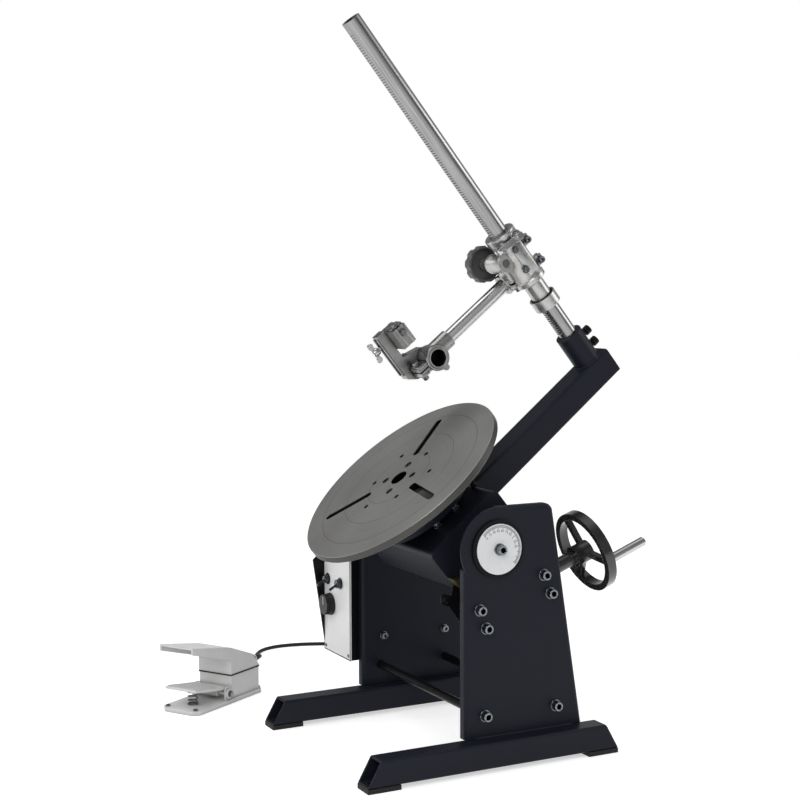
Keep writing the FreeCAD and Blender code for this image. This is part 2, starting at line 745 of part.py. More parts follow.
def stand():
    for name, side in (("near", 1), ("far", -1)):
        floor_tube(f"foot_tube_{name}", side)
        floor_pads(f"foot_pads_{name}", side)
    side_cheek("side_cheek_near", "near_face")
    side_cheek("side_cheek_far", "far_face")
    for name, y in (("front", "rod_front_y"), ("rear", "rod_rear_y")):
        length = "near_face - sheet_wall - far_face"
        node(f"tie_rod_{name}", rod("rod_radius", length, "far_face", y, "rod_z", "x"))
    bearing("trunnion_bush_near", "near_face", 1)
    bearing("trunnion_bush_far", "(far_face - sheet_wall)", -1)
    worm_block("worm_block_front", -1)
    worm_block("worm_block_rear", 1)


# Head

def head_frame():
    channel = body("head_channel")
    skirt = "head_skirt + head_top"
    section = sketch(channel, "YZ_Plane", "head_far + head_wall")
    profile = rectangle(section, "-head_half", "-head_skirt", "2 * head_half", skirt)
    pad(channel, profile, "head_near - head_far - 2 * head_wall")
    fillet(channel, "head_bend", along("x", lambda c: c.z > 0))
    ends = (size.head_far + size.head_wall, size.head_near - size.head_wall)

    def opened(side):
        c = side.CenterOfMass
        return near(c.z, -size.head_skirt) or any(near(c.x, end) for end in ends)

    shell(channel, "head_wall", opened)
    hole = circle(sketch(channel, "XY_Plane", "head_top"), "centre_x", 0, "spindle_radius + head_wall")
    pocket(channel, hole, "head_wall")
    node("head_channel", channel, "head")
    for name, start in (("near", "head_near - head_wall"), ("far", "head_far")):
        plate = body(f"head_end_{name}")
        square = sketch(plate, "YZ_Plane", start)
        rectangle(square, "-head_half", "-head_skirt", "2 * head_half", skirt)
        pad(plate, square, "head_wall")
        fillet(plate, "head_bend", along("x", lambda c: c.z > 0))
        node(f"head_end_{name}", plate, "head")


def trunnions():
    near_end = "near_face + bearing_cap_length + side_gap"
    collar = rod("trunnion_collar", "trunnion_collar_length", "head_near", 0, 0, "x")
    shaft = rod("trunnion_radius", f"{near_end} - head_near", "head_near", 0, 0, "x")
    node("trunnion_near", fuse(collar, shaft), "head")
    far_end = "far_face - sheet_wall - bearing_cap_length - side_gap"
    collar_end = "head_far - trunnion_collar_length"
    collar = rod("trunnion_collar", "trunnion_collar_length", collar_end, 0, 0, "x")
    shaft = rod("trunnion_radius", f"head_far - ({far_end})", far_end, 0, 0, "x")
    keeper = rod("trunnion_radius + head_wall", "dial_wall", f"{far_end} - dial_wall", 0, 0, "x")
    node("trunnion_far", fuse(collar, shaft, keeper), "head")
    node("dial_plate", held(rod("dial_radius", "dial_wall", near_end, 0, 0, "x")), "head")


def worm_sector():
    """Worm wheel cut down to the sector that the tilt range needs, on a hub round the trunnion."""
    tip = size.wheel_teeth * size.wheel_module / 2 + size.wheel_module
    depth = size.wheel_depth * size.wheel_module
    reach = 2 * tip
    half = size.wheel_width / 2
    start = Vector(size.worm_x - half, size.tilt_axis_y, size.tilt_axis_z)
    across = Vector(1, 0, 0)
    disc = Part.makeCylinder(tip, size.wheel_width, start, across)
    front_corner = start + Vector(0, -reach, -reach - size.wheel_end_drop)
    front = Part.makeBox(size.wheel_width, reach, reach, front_corner)
    angle = math.radians(size.wheel_rear_angle)
    far_point = start + Vector(0, math.sin(angle), -math.cos(angle)) * reach
    corner = Vector(far_point.x, far_point.y, start.z - reach)
    low = Vector(start.x, start.y, start.z - reach)
    rear = Part.Face(Part.makePolygon([start, far_point, corner, low, start]))
    fan = rear.extrude(across * size.wheel_width)
    blank = disc.common(front.fuse(fan))
    half_root = math.pi * size.wheel_module / 8
    half_tip = half_root + depth * math.tan(math.radians(size.flank_angle))
    profile = [
        start + Vector(0, -half_tip, -tip - PAST),
        start + Vector(0, half_tip, -tip - PAST),
        start + Vector(0, half_root, depth - tip),
        start + Vector(0, -half_root, depth - tip),
    ]
    gap = Part.Face(Part.makePolygon(profile + profile[:1])).extrude(across * size.wheel_width)
    gaps = []
    for step in range(FRONT_GAP, REAR_GAP + 1):
        turned = gap.copy()
        turned.rotate(start, across, size.worm_slope + step * 360 / size.wheel_teeth)
        gaps.append(turned)
    blank = blank.cut(Part.makeCompound(gaps))
    hub_length = size.worm_x + half - size.head_near - size.trunnion_collar_length
    hub_start = Vector(size.head_near + size.trunnion_collar_length, size.tilt_axis_y, size.tilt_axis_z)
    hub = Part.makeCylinder(size.wheel_hub, hub_length, hub_start, across)
    bore = Part.makeCylinder(size.trunnion_radius, hub_length, hub_start, across)
    return node("worm_sector", formed("worm_sector", blank.fuse(hub).cut(bore).removeSplitter()))


def spindle():
    housing = body("spindle_housing")
    flange = "head_top + housing_step"
    neck = f"{flange} + housing_flange_wall"
    top = f"{neck} + housing_neck_height"
    bore = "spindle_radius + run_gap"
    profile = outline(
        sketch(housing, "XZ_Plane"),
        (bore, "head_top"),
        ("housing_radius", "head_top"),
        ("housing_radius", flange),
        ("housing_flange", flange),
        ("housing_flange", neck),
        ("housing_neck", neck),
        ("housing_neck", top),
        (bore, top),
    )
    spin(housing, profile)
    node("spindle_housing", housing, "table")
    hub = body("spindle_hub")
    under = f"{top} + side_gap"
    plate = "table_face - table_wall"
    profile = outline(
        sketch(hub, "XZ_Plane"),
        ("table_bore", "spindle_end"),
        ("spindle_radius", "spindle_end"),
        ("spindle_radius", under),
        ("hub_radius", under),
        ("hub_radius", plate),
        ("table_bore", plate),
    )
    spin(hub, profile)
    node("spindle_hub", hub, "table")
    gearbox = cut(
        box(
            "2 * gearbox_half_x",
            "2 * gearbox_half_y",
            "head_top - head_wall - gearbox_bottom",
            "-gearbox_half_x",
            "-gearbox_half_y",
            "gearbox_bottom",
        ),
        rod("spindle_radius + side_gap", BIG, 0, 0, "spindle_end - side_gap"),
    )
    node("gearbox", gearbox, "table")
    length = "-gearbox_half_x - (head_far + head_wall - centre_x)"
    motor = rod("motor_radius", length, "head_far + head_wall - centre_x", 0, "motor_height", "x")
    node("drive_motor", held(motor), "table")


def faceplate():
    plate = body("table_plate")
    disc = circle(sketch(plate, "XY_Plane", "table_face"), 0, 0, "table_radius")
    pad(plate, disc, "table_wall", reverse=True)
    chamfer(plate, "rim_chamfer", lambda edge: near(edge.BoundBox.ZLength, 0))
    top = "table_face"
    pocket(plate, circle(sketch(plate, "XY_Plane", top), 0, 0, "table_bore"))
    channel = sketch(plate, "XY_Plane", top)
    edge = "slot_width / 2"
    corners = []
    for reach, side in (("slot_start", -1), ("slot_stop", -1), ("slot_stop", 1), ("slot_start", 1)):
        corners.append(
            (
                f"{reach} * cos(slot_angle) - {side} * {edge} * sin(slot_angle)",
                f"{reach} * sin(slot_angle) + {side} * {edge} * cos(slot_angle)",
            )
        )
    straight = pocket(plate, outline(channel, *corners))
    ends = sketch(plate, "XY_Plane", top)
    for reach in ("slot_start", "slot_stop"):
        circle(ends, f"{reach} * cos(slot_angle)", f"{reach} * sin(slot_angle)", edge)
    round_ends = pocket(plate, ends)
    tapped = sketch(plate, "XY_Plane", top)
    for ring in ("outer", "inner"):
        orbit = f"tapped_{ring}_orbit"
        angle = f"tapped_{ring}_angle"
        circle(tapped, f"{orbit} * cos({angle})", f"{orbit} * sin({angle})", "tapped_radius")
    threads = pocket(plate, tapped)
    around(plate, "slot_count", straight, round_ends, threads)
    sink_x = "plate_screw_orbit * cos(plate_screw_angle)"
    sink_y = "plate_screw_orbit * sin(plate_screw_angle)"
    seat = circle(sketch(plate, "XY_Plane", top), sink_x, sink_y, "plate_screw_sink")
    sink = pocket(plate, seat, "plate_screw_depth")
    around(plate, "plate_screw_count", sink)
    node("table_plate", plate, "table")


def bent_arm():
    arm = body("torch_arm")
    left = "centre_x - arm_width / 2"
    profile = rectangle(sketch(arm, "XZ_Plane", "-head_half"), left, "arm_bottom", "arm_width", "arm_width")
    pad(arm, profile, "arm_end - head_half", reverse=True)
    fillet(arm, "arm_corner", along("y"))
    inner = "arm_width - 2 * arm_wall"
    section = sketch(arm, "XZ_Plane", "-head_half")
    hollow = rectangle(section, f"{left} + arm_wall", "arm_bottom + arm_wall", inner, inner)
    pocket(arm, hollow, "arm_end - head_half - arm_wall")
    node("torch_arm", arm, "head")
    base = "arm_bottom + arm_width"
    outer = rod("sleeve_radius", f"sleeve_top - ({base})", "centre_x", "column_v", base)
    bore = rod("column_radius + run_gap", BIG, "centre_x", "column_v", base)
    screw_holes = [
        rod("set_screw_radius", "2 * sleeve_radius", "centre_x", "column_v", height, "y")
        for height in ("set_screw_low", "set_screw_high")
    ]
    node("column_sleeve", cut(outer, bore, *screw_holes), "head")
    screws = []
    for height in ("set_screw_low", "set_screw_high"):
        seat = "column_v + sleeve_radius + set_screw_stand"
        tip = "column_v + column_radius + side_gap"
        shank = rod("set_screw_radius", f"{seat} - ({tip})", "centre_x", tip, height, "y")
        head = rod("dial_screw_radius", "dial_screw_head", "centre_x", seat, height, "y")
        socket = doc.addObject("Part::Prism", "Socket")
        socket.Polygon = 6
        bind(socket, Circumradius="socket_radius", Height="socket_depth")
        at(socket, "centre_x", f"{seat} + dial_screw_head - socket_depth", height, "y")
        screws.append(cut(fuse(shank, head), socket))
    group = doc.addObject("Part::Compound", "Screws")
    group.Links = screws
    node("sleeve_screws", group, "head")


# Tilt drive

def worm_drive():
    shaft = body("worm_shaft")
    root = "worm_radius - worm_depth"
    pitch = "pi * wheel_module"
    rings = int(size.worm_length / (math.pi * size.wheel_module))
    start = "-block_spacing / 2 - block_length / 2"
    first = f"-{rings} / 2 * {pitch}"
    points = [("0", start), ("worm_journal", start), ("worm_journal", first), (root, first)]
    for step in range(rings):
        for radius, share in zip((root, "worm_radius", "worm_radius", root), THREAD):
            points.append((radius, f"{first} + {step + share} * {pitch}"))
    last = f"{rings} / 2 * {pitch}"
    end = "handwheel_front + handwheel_width / 2"
    points += [(root, last), ("worm_journal", last), ("worm_journal", end), ("0", end)]
    spin(shaft, outline(sketch(shaft, "XZ_Plane"), *points))
    node("worm_shaft", shaft, "worm")


def handwheel():
    front = "handwheel_front"
    back = "handwheel_front + handwheel_width"
    inner = "handwheel_radius - handwheel_rim"
    seat = ("handwheel_width", 0, 0, front)
    rim = cut(rod("handwheel_radius", *seat), rod(inner, *seat))
    hub = rod("handwheel_hub", f"{back} - handwheel_dish - handwheel_hub_front", 0, 0, "handwheel_hub_front")
    sleeve_start = "block_spacing / 2 + block_length / 2 + side_gap"
    sleeve = rod("shaft_sleeve", f"handwheel_hub_front - ({sleeve_start})", 0, 0, sleeve_start)
    spokes = []
    for step in range(3):
        arm = held(box(f"{inner} + spoke_set", "spoke_width", "spoke_depth", 0, "-spoke_width / 2", 0))
        turn = f"create(<<rotation>>; create(<<vector>>; 0; 0; 1); {formula('spoke_angle')} + {step * 120})"
        lift = f"create(<<vector>>; 0; 0; {formula('handwheel_front + spoke_set')})"
        arm.setExpression("Placement", f"create(<<placement>>; {lift}; {turn})")
        spokes.append(arm)
    solid = fuse(rim, hub, sleeve, *spokes)
    shaft = rod("worm_journal", BIG, 0, 0, "-handwheel_front")
    pin_x = "grip_orbit * cos(spoke_angle)"
    pin_y = "grip_orbit * sin(spoke_angle)"
    pin = rod("grip_pin", "grip_length + side_gap", pin_x, pin_y, back)
    stop = rod("grip_stop", "grip_stop_wall", pin_x, pin_y, f"{back} + grip_length + side_gap")
    node("handwheel", fuse(cut(solid, shaft), pin, stop), "worm")
    grip = cut(
        rod("grip_radius", "grip_length - side_gap", pin_x, pin_y, f"{back} + side_gap"),
        rod("grip_pin + run_gap", "grip_length", pin_x, pin_y, back),
    )
    node("handwheel_grip", grip, "worm")


# Torch support

def rack_gaps(radius, start, stop):
    """The gaps between rack teeth across the -Y side of a tube along Z, side by side as one tool."""
    pitch = math.pi * size.rack_module
    lean = size.rack_depth * math.tan(math.radians(size.flank_angle)) / 2
    outside = -radius - 1
    root = size.rack_depth - radius
    gaps = []
    for step in range(int((stop - start) / pitch)):
        low = start + step * pitch
        high = low + pitch / 2
        points = [
            Vector(-radius, outside, low - PAST),
            Vector(-radius, outside, high + lean),
            Vector(-radius, root, high - lean),
            Vector(-radius, root, low + lean),
        ]
        gaps.append(Part.Face(Part.makePolygon(points + points[:1])).extrude(Vector(2 * radius, 0, 0)))
    return Part.makeCompound(gaps)


def racked_tube(radius, bore, length, start, stop):
    """A tube along Z with rack teeth cut across its -Y side."""
    tube = Part.makeCylinder(radius, length).cut(Part.makeCylinder(bore, length))
    return tube.cut(rack_gaps(radius, start, stop))


def column():
    bottom = size.arm_bottom + size.arm_width + size.side_gap
    shape = racked_tube(
        size.column_radius,
        size.column_bore,
        size.column_top - bottom,
        size.column_rack_start - bottom,
        size.column_rack_stop - bottom,
    )
    shape.translate(Vector(size.centre_x, size.column_v, bottom))
    node("column", formed("column", shape), "head")
    outer = rod("collar_radius", "collar_height", "centre_x", "column_v", "collar_bottom")
    bore = rod("column_radius + run_gap", "collar_height", "centre_x", "column_v", "collar_bottom")
    recess = rod(
        "collar_recess",
        "collar_recess_depth",
        "centre_x",
        "column_v",
        "collar_bottom + collar_height - collar_recess_depth",
    )
    node("stop_collar", cut(outer, bore, recess), "head")


def cross_arm():
    length = size.cross_stop - size.cross_start
    first = 2 * size.cross_radius
    shape = racked_tube(size.cross_radius, size.cross_bore, length, first, length - size.cross_radius)
    shape.rotate(Vector(), Vector(1, 0, 0), -90)
    shape.rotate(Vector(), Vector(0, 1, 0), 180)
    shape.translate(Vector(size.cross_x, size.cross_start, size.cross_n))
    node("cross_arm", formed("cross_arm", shape), "head")


def cross_clamp():
    column_at = ("centre_x", "column_v")
    boss = rod("boss_radius", "boss_top - boss_bottom", *column_at, "boss_bottom")
    guide = rod("guide_radius", "boss_bottom - guide_bottom", *column_at, "guide_bottom")
    cross = rod(
        "cross_boss_radius",
        "cross_boss_stop - cross_boss_start",
        "cross_x",
        "cross_boss_start",
        "cross_n",
        "y",
    )
    web_front = "pinion_v - pinion_shaft"
    web = box("web_width", "web_length", "web_top - cross_n", "centre_x - web_width", web_front, "cross_n")
    pinion = rod("pinion_boss", "pinion_stop - pinion_start", "pinion_start", "pinion_v", "pinion_n", "x")
    lugs = []
    for height in ("lug_low", "lug_high"):
        reach = "lug_reach + boss_radius"
        lugs.append(box("lug_width", reach, "lug_height", "centre_x - lug_width / 2", "column_v", height))
    slit_height = "lug_height + lug_high - lug_low"
    tooth_start = "centre_x - pinion_shaft - side_gap"
    tee_length = "cross_boss_radius + 2 * tee_shaft"
    solid = fuse(boss, guide, cross, web, pinion, *lugs)
    tools = [
        rod("column_radius + run_gap", BIG, *column_at, 0),
        rod("cross_radius + run_gap", BIG, "cross_x", 0, "cross_n", "y"),
        rod("pinion_shaft + run_gap", BIG, "pinion_start - side_gap", "pinion_v", "pinion_n", "x"),
        rod("pinion_radius + side_gap", BIG, tooth_start, "pinion_v", "pinion_n", "x"),
        box("lug_slit", BIG, slit_height, "centre_x - lug_slit / 2", "column_v", "lug_low"),
        rod("lever_pin + run_gap", BIG, "centre_x + column_radius", "lever_v", "lever_n", "x"),
        rod("tee_shaft + run_gap", tee_length, "cross_x - cross_boss_radius", "tee_v", "tee_n", "x"),
    ]
    node("clamp_body", cut(solid, *tools), "head")


def clamp_knob():
    far = "pinion_start - side_gap - knob_length"
    disc = rod("knob_radius", "knob_length", far, "pinion_v", "pinion_n", "x")
    dish = rod("knob_radius - knob_rim", "knob_length", f"{far} + knob_wall", "pinion_v", "pinion_n", "x")
    scallops = []
    step = 360 / size.knob_scallops
    orbit = "(knob_radius + scallop_radius - scallop_depth)"
    for index in range(int(size.knob_scallops)):
        y = f"pinion_v + {orbit} * cos({index * step})"
        z = f"pinion_n + {orbit} * sin({index * step})"
        scallops.append(rod("scallop_radius", "knob_length", far, y, z, "x"))
    hub = rod("knob_hub", "knob_length", far, "pinion_v", "pinion_n", "x")
    shaft = rod("pinion_shaft", f"pinion_stop - ({far})", far, "pinion_v", "pinion_n", "x")
    tooth = rod("pinion_radius", "2 * pinion_shaft", "centre_x - pinion_shaft", "pinion_v", "pinion_n", "x")
    node("clamp_knob", fuse(cut(disc, dish, *scallops), hub, shaft, tooth), "head")


def clamp_lever():
    boss = rod("lever_boss", "lever_wall", "lever_x", "lever_v", "lever_n", "x")
    low = "lever_n - lever_width / 2"
    bar = box("lever_wall", "lever_length", "lever_width", "lever_x", "lever_v - lever_length", low)
    start = "centre_x + column_radius + side_gap"
    pin = rod("lever_pin", f"lever_x - ({start})", start, "lever_v", "lever_n", "x")
    node("clamp_lever", fuse(boss, bar, pin), "head")


def arm_pinion():
    far = "cross_x - cross_boss_radius - side_gap - arm_knob_length"
    knob = rod("arm_knob_radius", "arm_knob_length", far, "tee_v", "tee_n", "x")
    shaft = rod("tee_shaft", f"cross_x + tee_shaft - ({far})", far, "tee_v", "tee_n", "x")
    node("arm_pinion", fuse(knob, shaft), "head")


def torch_ring():
    width = "ring_near - ring_far"
    ring = rod("ring_radius", width, "ring_far", "ring_v", "ring_n", "x")
    socket = rod("socket_boss", "socket_length + ring_radius", "cross_x", "ring_v", "cross_n", "y")
    lug = box(
        f"{width} - 2 * ring_lug_set",
        "ring_lug_reach",
        "ring_lug_height",
        "ring_far + ring_lug_set",
        "ring_v - ring_lug_reach",
        "ring_n - ring_lug_height / 2",
    )
    bore = rod("pivot_radius + run_gap", width, "ring_far", "ring_v", "ring_n", "x")
    seat = rod("cross_radius", BIG, "cross_x", "cross_start", "cross_n", "y")
    slit = box(width, BIG, "lug_slit", "ring_far", f"ring_v - {BIG}", "ring_n - lug_slit / 2")
    faced = box(BIG, BIG, BIG, f"ring_far - {BIG}", "ring_v", f"ring_n - {BIG / 2}")
    node("torch_ring", cut(fuse(ring, socket, lug), bore, seat, slit, faced), "head")


def torch_block():
    block = body("torch_block")
    near_side = "ring_far - side_gap"
    back = "block_v + block_back"
    profile = outline(
        sketch(block, "YZ_Plane", near_side),
        ("block_v", "block_bottom + block_heel"),
        ("block_v + block_toe", "block_bottom"),
        ("ring_v - block_flat", "block_bottom - block_point"),
        ("ring_v + pivot_radius", "ring_n"),
        ("ring_v", "ring_n + pivot_radius + block_flat"),
        (back, "ring_n + pivot_radius + block_shoulder"),
        (back, "block_top"),
        ("block_v", "block_top"),
    )
    pad(block, profile, "block_wall", reverse=True)
    tube = circle(sketch(block, "YZ_Plane", near_side), "ring_v", "ring_n", "pivot_radius")
    pad(block, tube, "ring_near - ring_far + pivot_over")
    boss = circle(sketch(block, "YZ_Plane", near_side), "ring_v", "ring_n", "pivot_radius")
    pad(block, boss, "block_wall", reverse=True)
    end = sketch(block, "YZ_Plane", "ring_near + side_gap + pivot_over")
    pocket(block, circle(end, "ring_v", "ring_n", "pivot_bore"), "ring_near - ring_far + block_wall / 2")
    node("torch_block", block, "head")
    jaw_start = f"{near_side} - block_wall"
    jaw = box("jaw_x + block_wall", "jaw_depth", "jaw_height", jaw_start, f"{back} + side_gap", "jaw_bottom")
    node("torch_jaw", held(jaw), "head")
    x = "ring_far - block_wall / 2"
    tip = "block_v - wing_length"
    middle = "jaw_bottom + jaw_height / 2"
    screw = rod("wing_radius", "wing_length", x, tip, middle, "y")
    wings = box(
        "wing_radius",
        "2 * wing_radius",
        "wing_span",
        f"{x} - wing_radius / 2",
        tip,
        f"{middle} - wing_span / 2",
    )
    node("wing_screw", fuse(screw, wings), "head")


# Controls

def control_box():
    case = body("control_box_body")
    depth = "box_rear - box_front - panel_wall"
    front = rectangle(
        sketch(case, "XZ_Plane", "-box_front - panel_wall"),
        "box_far",
        "box_bottom",
        "box_near - box_far",
        "box_top - box_bottom",
    )
    pad(case, front, depth, reverse=True)
    shell(case, "box_wall", lambda face: near(face.CenterOfMass.y, size.box_front + size.panel_wall))
    legs = sketch(case, "YZ_Plane", "box_near")
    for y in ("standoff_front_y", "standoff_rear_y"):
        circle(legs, y, "standoff_z", "standoff_radius")
    pad(case, legs, "far_face - sheet_wall - box_near")
    node("control_box_body", case)
    panel = body("control_panel")
    plate = rectangle(
        sketch(panel, "XZ_Plane", "-box_front"),
        "box_far",
        "box_bottom",
        "box_near - box_far + panel_over",
        "box_top - box_bottom",
    )
    pad(panel, plate, "panel_wall", reverse=True)
    hole = sketch(panel, "XZ_Plane", "-box_front")
    pocket(panel, circle(hole, "speed_knob_x", "speed_knob_z", "speed_shaft + run_gap"), "panel_wall")
    bushes = sketch(panel, "XZ_Plane", "-box_front")
    for x in ("toggle_left_x", "toggle_right_x"):
        circle(bushes, x, "toggle_z", "toggle_bush")
    pad(panel, bushes, "toggle_bush_length")
    cups = sketch(panel, "XZ_Plane", "-box_front + toggle_bush_length")
    for x in ("toggle_left_x", "toggle_right_x"):
        circle(cups, x, "toggle_z", "toggle_bush - toggle_bush_wall")
    pocket(panel, cups, "toggle_bush_length")
    pivot_y = "box_front - toggle_bush_length / 2"
    pins = circle(sketch(panel, "YZ_Plane"), pivot_y, "toggle_z", "toggle_pin + run_gap")
    pocket(panel, pins, both=True)
    node("control_panel", panel)
    guard = body("control_box_guard")
    wing = outline(
        sketch(guard, "YZ_Plane", "box_far"),
        ("box_front", "guard_bottom"),
        ("box_front", "guard_top"),
        ("box_front - guard_reach", "guard_nose"),
    )
    pad(guard, wing, "guard_wall")
    node("control_box_guard", guard)
    inlet = rod("inlet_radius", "inlet_length", "box_middle", "inlet_y", "box_bottom - inlet_length")
    node("mains_inlet", inlet)
    seat = ("gland_length", "coil_x + coil_orbit", "box_gland_y", "box_bottom - gland_length")
    node("box_cord_gland", cut(rod("gland_radius", *seat), rod("cord_radius", *seat)))


def switches():
    for side in ("left", "right"):
        x = f"toggle_{side}_x"
        pivot_y = size.box_front - size.toggle_bush_length / 2
        centre = Vector(getattr(size, x), pivot_y, size.toggle_z)
        droop = math.radians(size.toggle_droop)
        direction = Vector(0, -math.cos(droop), -math.sin(droop))
        ball = Part.makeSphere(size.toggle_ball, centre)
        root_radius = size.toggle_root_radius
        lever = Part.makeCone(root_radius, size.toggle_lever_radius, size.toggle_lever, centre, direction)
        pin_start = centre - Vector(size.toggle_bush, 0, 0)
        pin = Part.makeCylinder(size.toggle_pin, 2 * size.toggle_bush, pin_start, Vector(1, 0, 0))
        label = f"toggle_{side}"
        node(label, formed(label, ball.fuse([lever, pin]).removeSplitter()))
    front = "box_front - side_gap"
    face = f"{front} - speed_knob_length"
    knob = rod("speed_knob_radius", "speed_knob_length", "speed_knob_x", face, "speed_knob_z", "y")
    shaft = rod("speed_shaft", "speed_knob_length", "speed_knob_x", front, "speed_knob_z", "y")
    node("speed_knob", fuse(knob, shaft))


# Foot switch

def foot_switch():
    base = body("pedal_base")
    plate = sketch(base, "XY_Plane")
    rectangle(plate, "-pedal_width / 2", "-pedal_length / 2", "pedal_width", "pedal_length")
    pad(base, plate, "pedal_base_wall")
    chamfer(base, "pedal_chamfer", along("z"))
    for start in ("tread_width / 2 + side_gap", "-tread_width / 2 - side_gap - ear_wall"):
        ear = sketch(base, "YZ_Plane", start)
        front = "pin_y - ear_length / 2"
        rectangle(ear, front, "pedal_base_wall", "ear_length", "ear_height - pedal_base_wall")
        pad(base, ear, "ear_wall")
    height = "(pedal_base_wall + ear_height) / 2"
    holes = circle(sketch(base, "YZ_Plane"), "pin_y", height, "pin_radius + run_gap")
    pocket(base, holes, both=True)
    node("pedal_base", base, "pedal")
    case = body("pedal_case")
    length = "case_rear - case_front"
    foot = sketch(case, "XY_Plane", "pedal_base_wall")
    rectangle(foot, "-case_width / 2", "case_front", "case_width", length)
    pad(case, foot, "gasket_z - gasket_wall / 2 - pedal_base_wall")
    fillet(case, "foot_corner", along("z"))
    node("pedal_case", case, "pedal")
    gasket = body("pedal_gasket")
    ring = rectangle(
        sketch(gasket, "XY_Plane", "gasket_z - gasket_wall / 2"),
        "-case_width / 2 - gasket_over",
        "case_front - gasket_over",
        "case_width + 2 * gasket_over",
        f"{length} + 2 * gasket_over",
    )
    pad(gasket, ring, "gasket_wall")
    fillet(gasket, "foot_corner", along("z"))
    node("pedal_gasket", gasket, "pedal")
    cover = body("pedal_cover")
    bottom = "gasket_z + gasket_wall / 2"
    side = outline(
        sketch(cover, "YZ_Plane"),
        ("case_front", bottom),
        ("case_rear", bottom),
        ("case_slope", "case_top_rear"),
        ("case_front", "case_top_front"),
    )
    pad(cover, side, "case_width", both=True)
    roof = outline(
        sketch(cover, "YZ_Plane"),
        ("case_front", "case_top_front"),
        ("hood_front", "hood_front_z"),
        ("hood_front", "hood_front_z - hood_side / 2"),
        ("case_front", "case_top_front - hood_side"),
    )
    pad(cover, roof, "case_width", both=True)
    under = outline(
        sketch(cover, "YZ_Plane"),
        ("case_front", "case_top_front - hood_wall"),
        ("hood_front", "hood_front_z - hood_wall"),
        ("hood_front", "hood_front_z - hood_side"),
        ("case_front", "case_top_front - 2 * hood_side"),
    )
    pocket(cover, under, "case_width - 2 * hood_wall", both=True)
    node("pedal_cover", cover, "pedal")
    tread = body("pedal_tread")
    slab = outline(
        sketch(tread, "YZ_Plane"),
        ("tread_front", "tread_front_z"),
        ("tread_rear", "tread_rear_z"),
        ("tread_rear", "tread_rear_z + tread_wall"),
        ("tread_front", "tread_front_z + tread_wall"),
    )
    pad(tread, slab, "tread_width", both=True)
    lug_front = "pin_y - tread_lug / 2"
    lug_low = f"{height} - tread_lug / 2"
    lug = rectangle(sketch(tread, "YZ_Plane"), lug_front, lug_low, f"tread_rear - ({lug_front})", "tread_lug")
    pad(tread, lug, "tread_width / 2", both=True)
    pin = circle(sketch(tread, "YZ_Plane"), "pin_y", height, "pin_radius")
    pad(tread, pin, "tread_width + 2 * ear_wall + 2 * side_gap", both=True)
    node("pedal_tread", tread, "pedal")


def tread_spring():
    """The coils as turned rings that join at their valleys, between the base and the tread."""
    radius = size.spring_radius
    wire = size.spring_wire
    slope = (size.tread_front_z - size.tread_rear_z) / (size.tread_rear - size.tread_front)
    under = size.tread_front_z - (size.spring_y + radius - size.tread_front) * slope
    bottom = size.pedal_base_wall + size.side_gap
    rise = (under - size.side_gap - bottom) / (2 * size.spring_turns)
    outside = []
    for step in range(2 * int(size.spring_turns) + 1):
        crest = radius if step % 2 else radius - wire
        outside.append(Vector(crest, 0, bottom + step * rise))
    inside = [point - Vector(wire, 0, 0) for point in reversed(outside)]
    face = Part.Face(Part.makePolygon(outside + inside + outside[:1]))
    spring = face.revolve(Vector(), Vector(0, 0, 1), 360)
    spring.translate(Vector(0, size.spring_y, 0))
    node("pedal_spring", formed("pedal_spring", spring), "pedal")


# Cord of the foot switch

# Route from the foot switch over the floor to the coil behind the far cheek, and from the coil to the box.
CORD = (
    (-362.9, -122.5, 50.0),
    (-376.0, -113.0, 47.5),
    (-397.0, -105.0, 42.0),
    (-426.0, -94.0, 34.0),
    (-460.0, -84.0, 25.0),
    (-496.0, -72.0, 15.0),
    (-531.0, -60.0, 7.0),
    (-560.0, -46.0, 3.2),
    (-582.0, -29.0, 3.0),
    (-594.0, -5.0, 3.0),
    (-596.0, 20.0, 3.0),
    (-590.0, 52.0, 3.0),
    (-576.0, 86.0, 3.0),
    (-557.0, 122.0, 3.0),
    (-534.0, 160.0, 3.0),
    (-508.0, 196.0, 3.0),
    (-465.0, 222.0, 3.0),
    (-411.0, 238.0, 3.0),
    (-366.0, 229.0, 3.0),
    (-318.0, 214.0, 4.0),
    (-290.0, 207.0, 6.0),
    (-262.0, 206.0, 7.3),
)
BOX_CORD = (
    (-226.0, 170.0, 7.3),
    (-226.0, 142.0, 5.0),
    (-226.0, 112.0, 3.2),
    (-226.0, 84.0, 9.0),
    (-226.0, 60.0, 24.0),
    (-226.0, 44.5, 44.0),
)


def cord_tube(points, radius):
    """Straight runs joined by tangent arcs, swept with a round section."""
    path = []
    here = points[0]
    for before, corner, after in zip(points, points[1:], points[2:]):
        back = (before - corner).normalize()
        onward = (after - corner).normalize()
        half_turn = (math.pi - back.getAngle(onward)) / 2
        reach = BEND_SHARE * min((corner - before).Length, (after - corner).Length)
        bend = reach / math.tan(half_turn)
        start = corner + back * reach
        end = corner + onward * reach
        inward = (back + onward).normalize()
        middle = corner + inward * (bend / math.cos(half_turn) - bend)
        path.append(Part.LineSegment(here, start).toShape())
        path.append(Part.Arc(start, middle, end).toShape())
        here = end
    path.append(Part.LineSegment(here, points[-1]).toShape())
    wire = Part.Wire(path)
    direction = points[1] - points[0]
    profile = Part.Wire(Part.makeCircle(radius, points[0], direction))
    return wire.makePipeShell([profile], True, False)


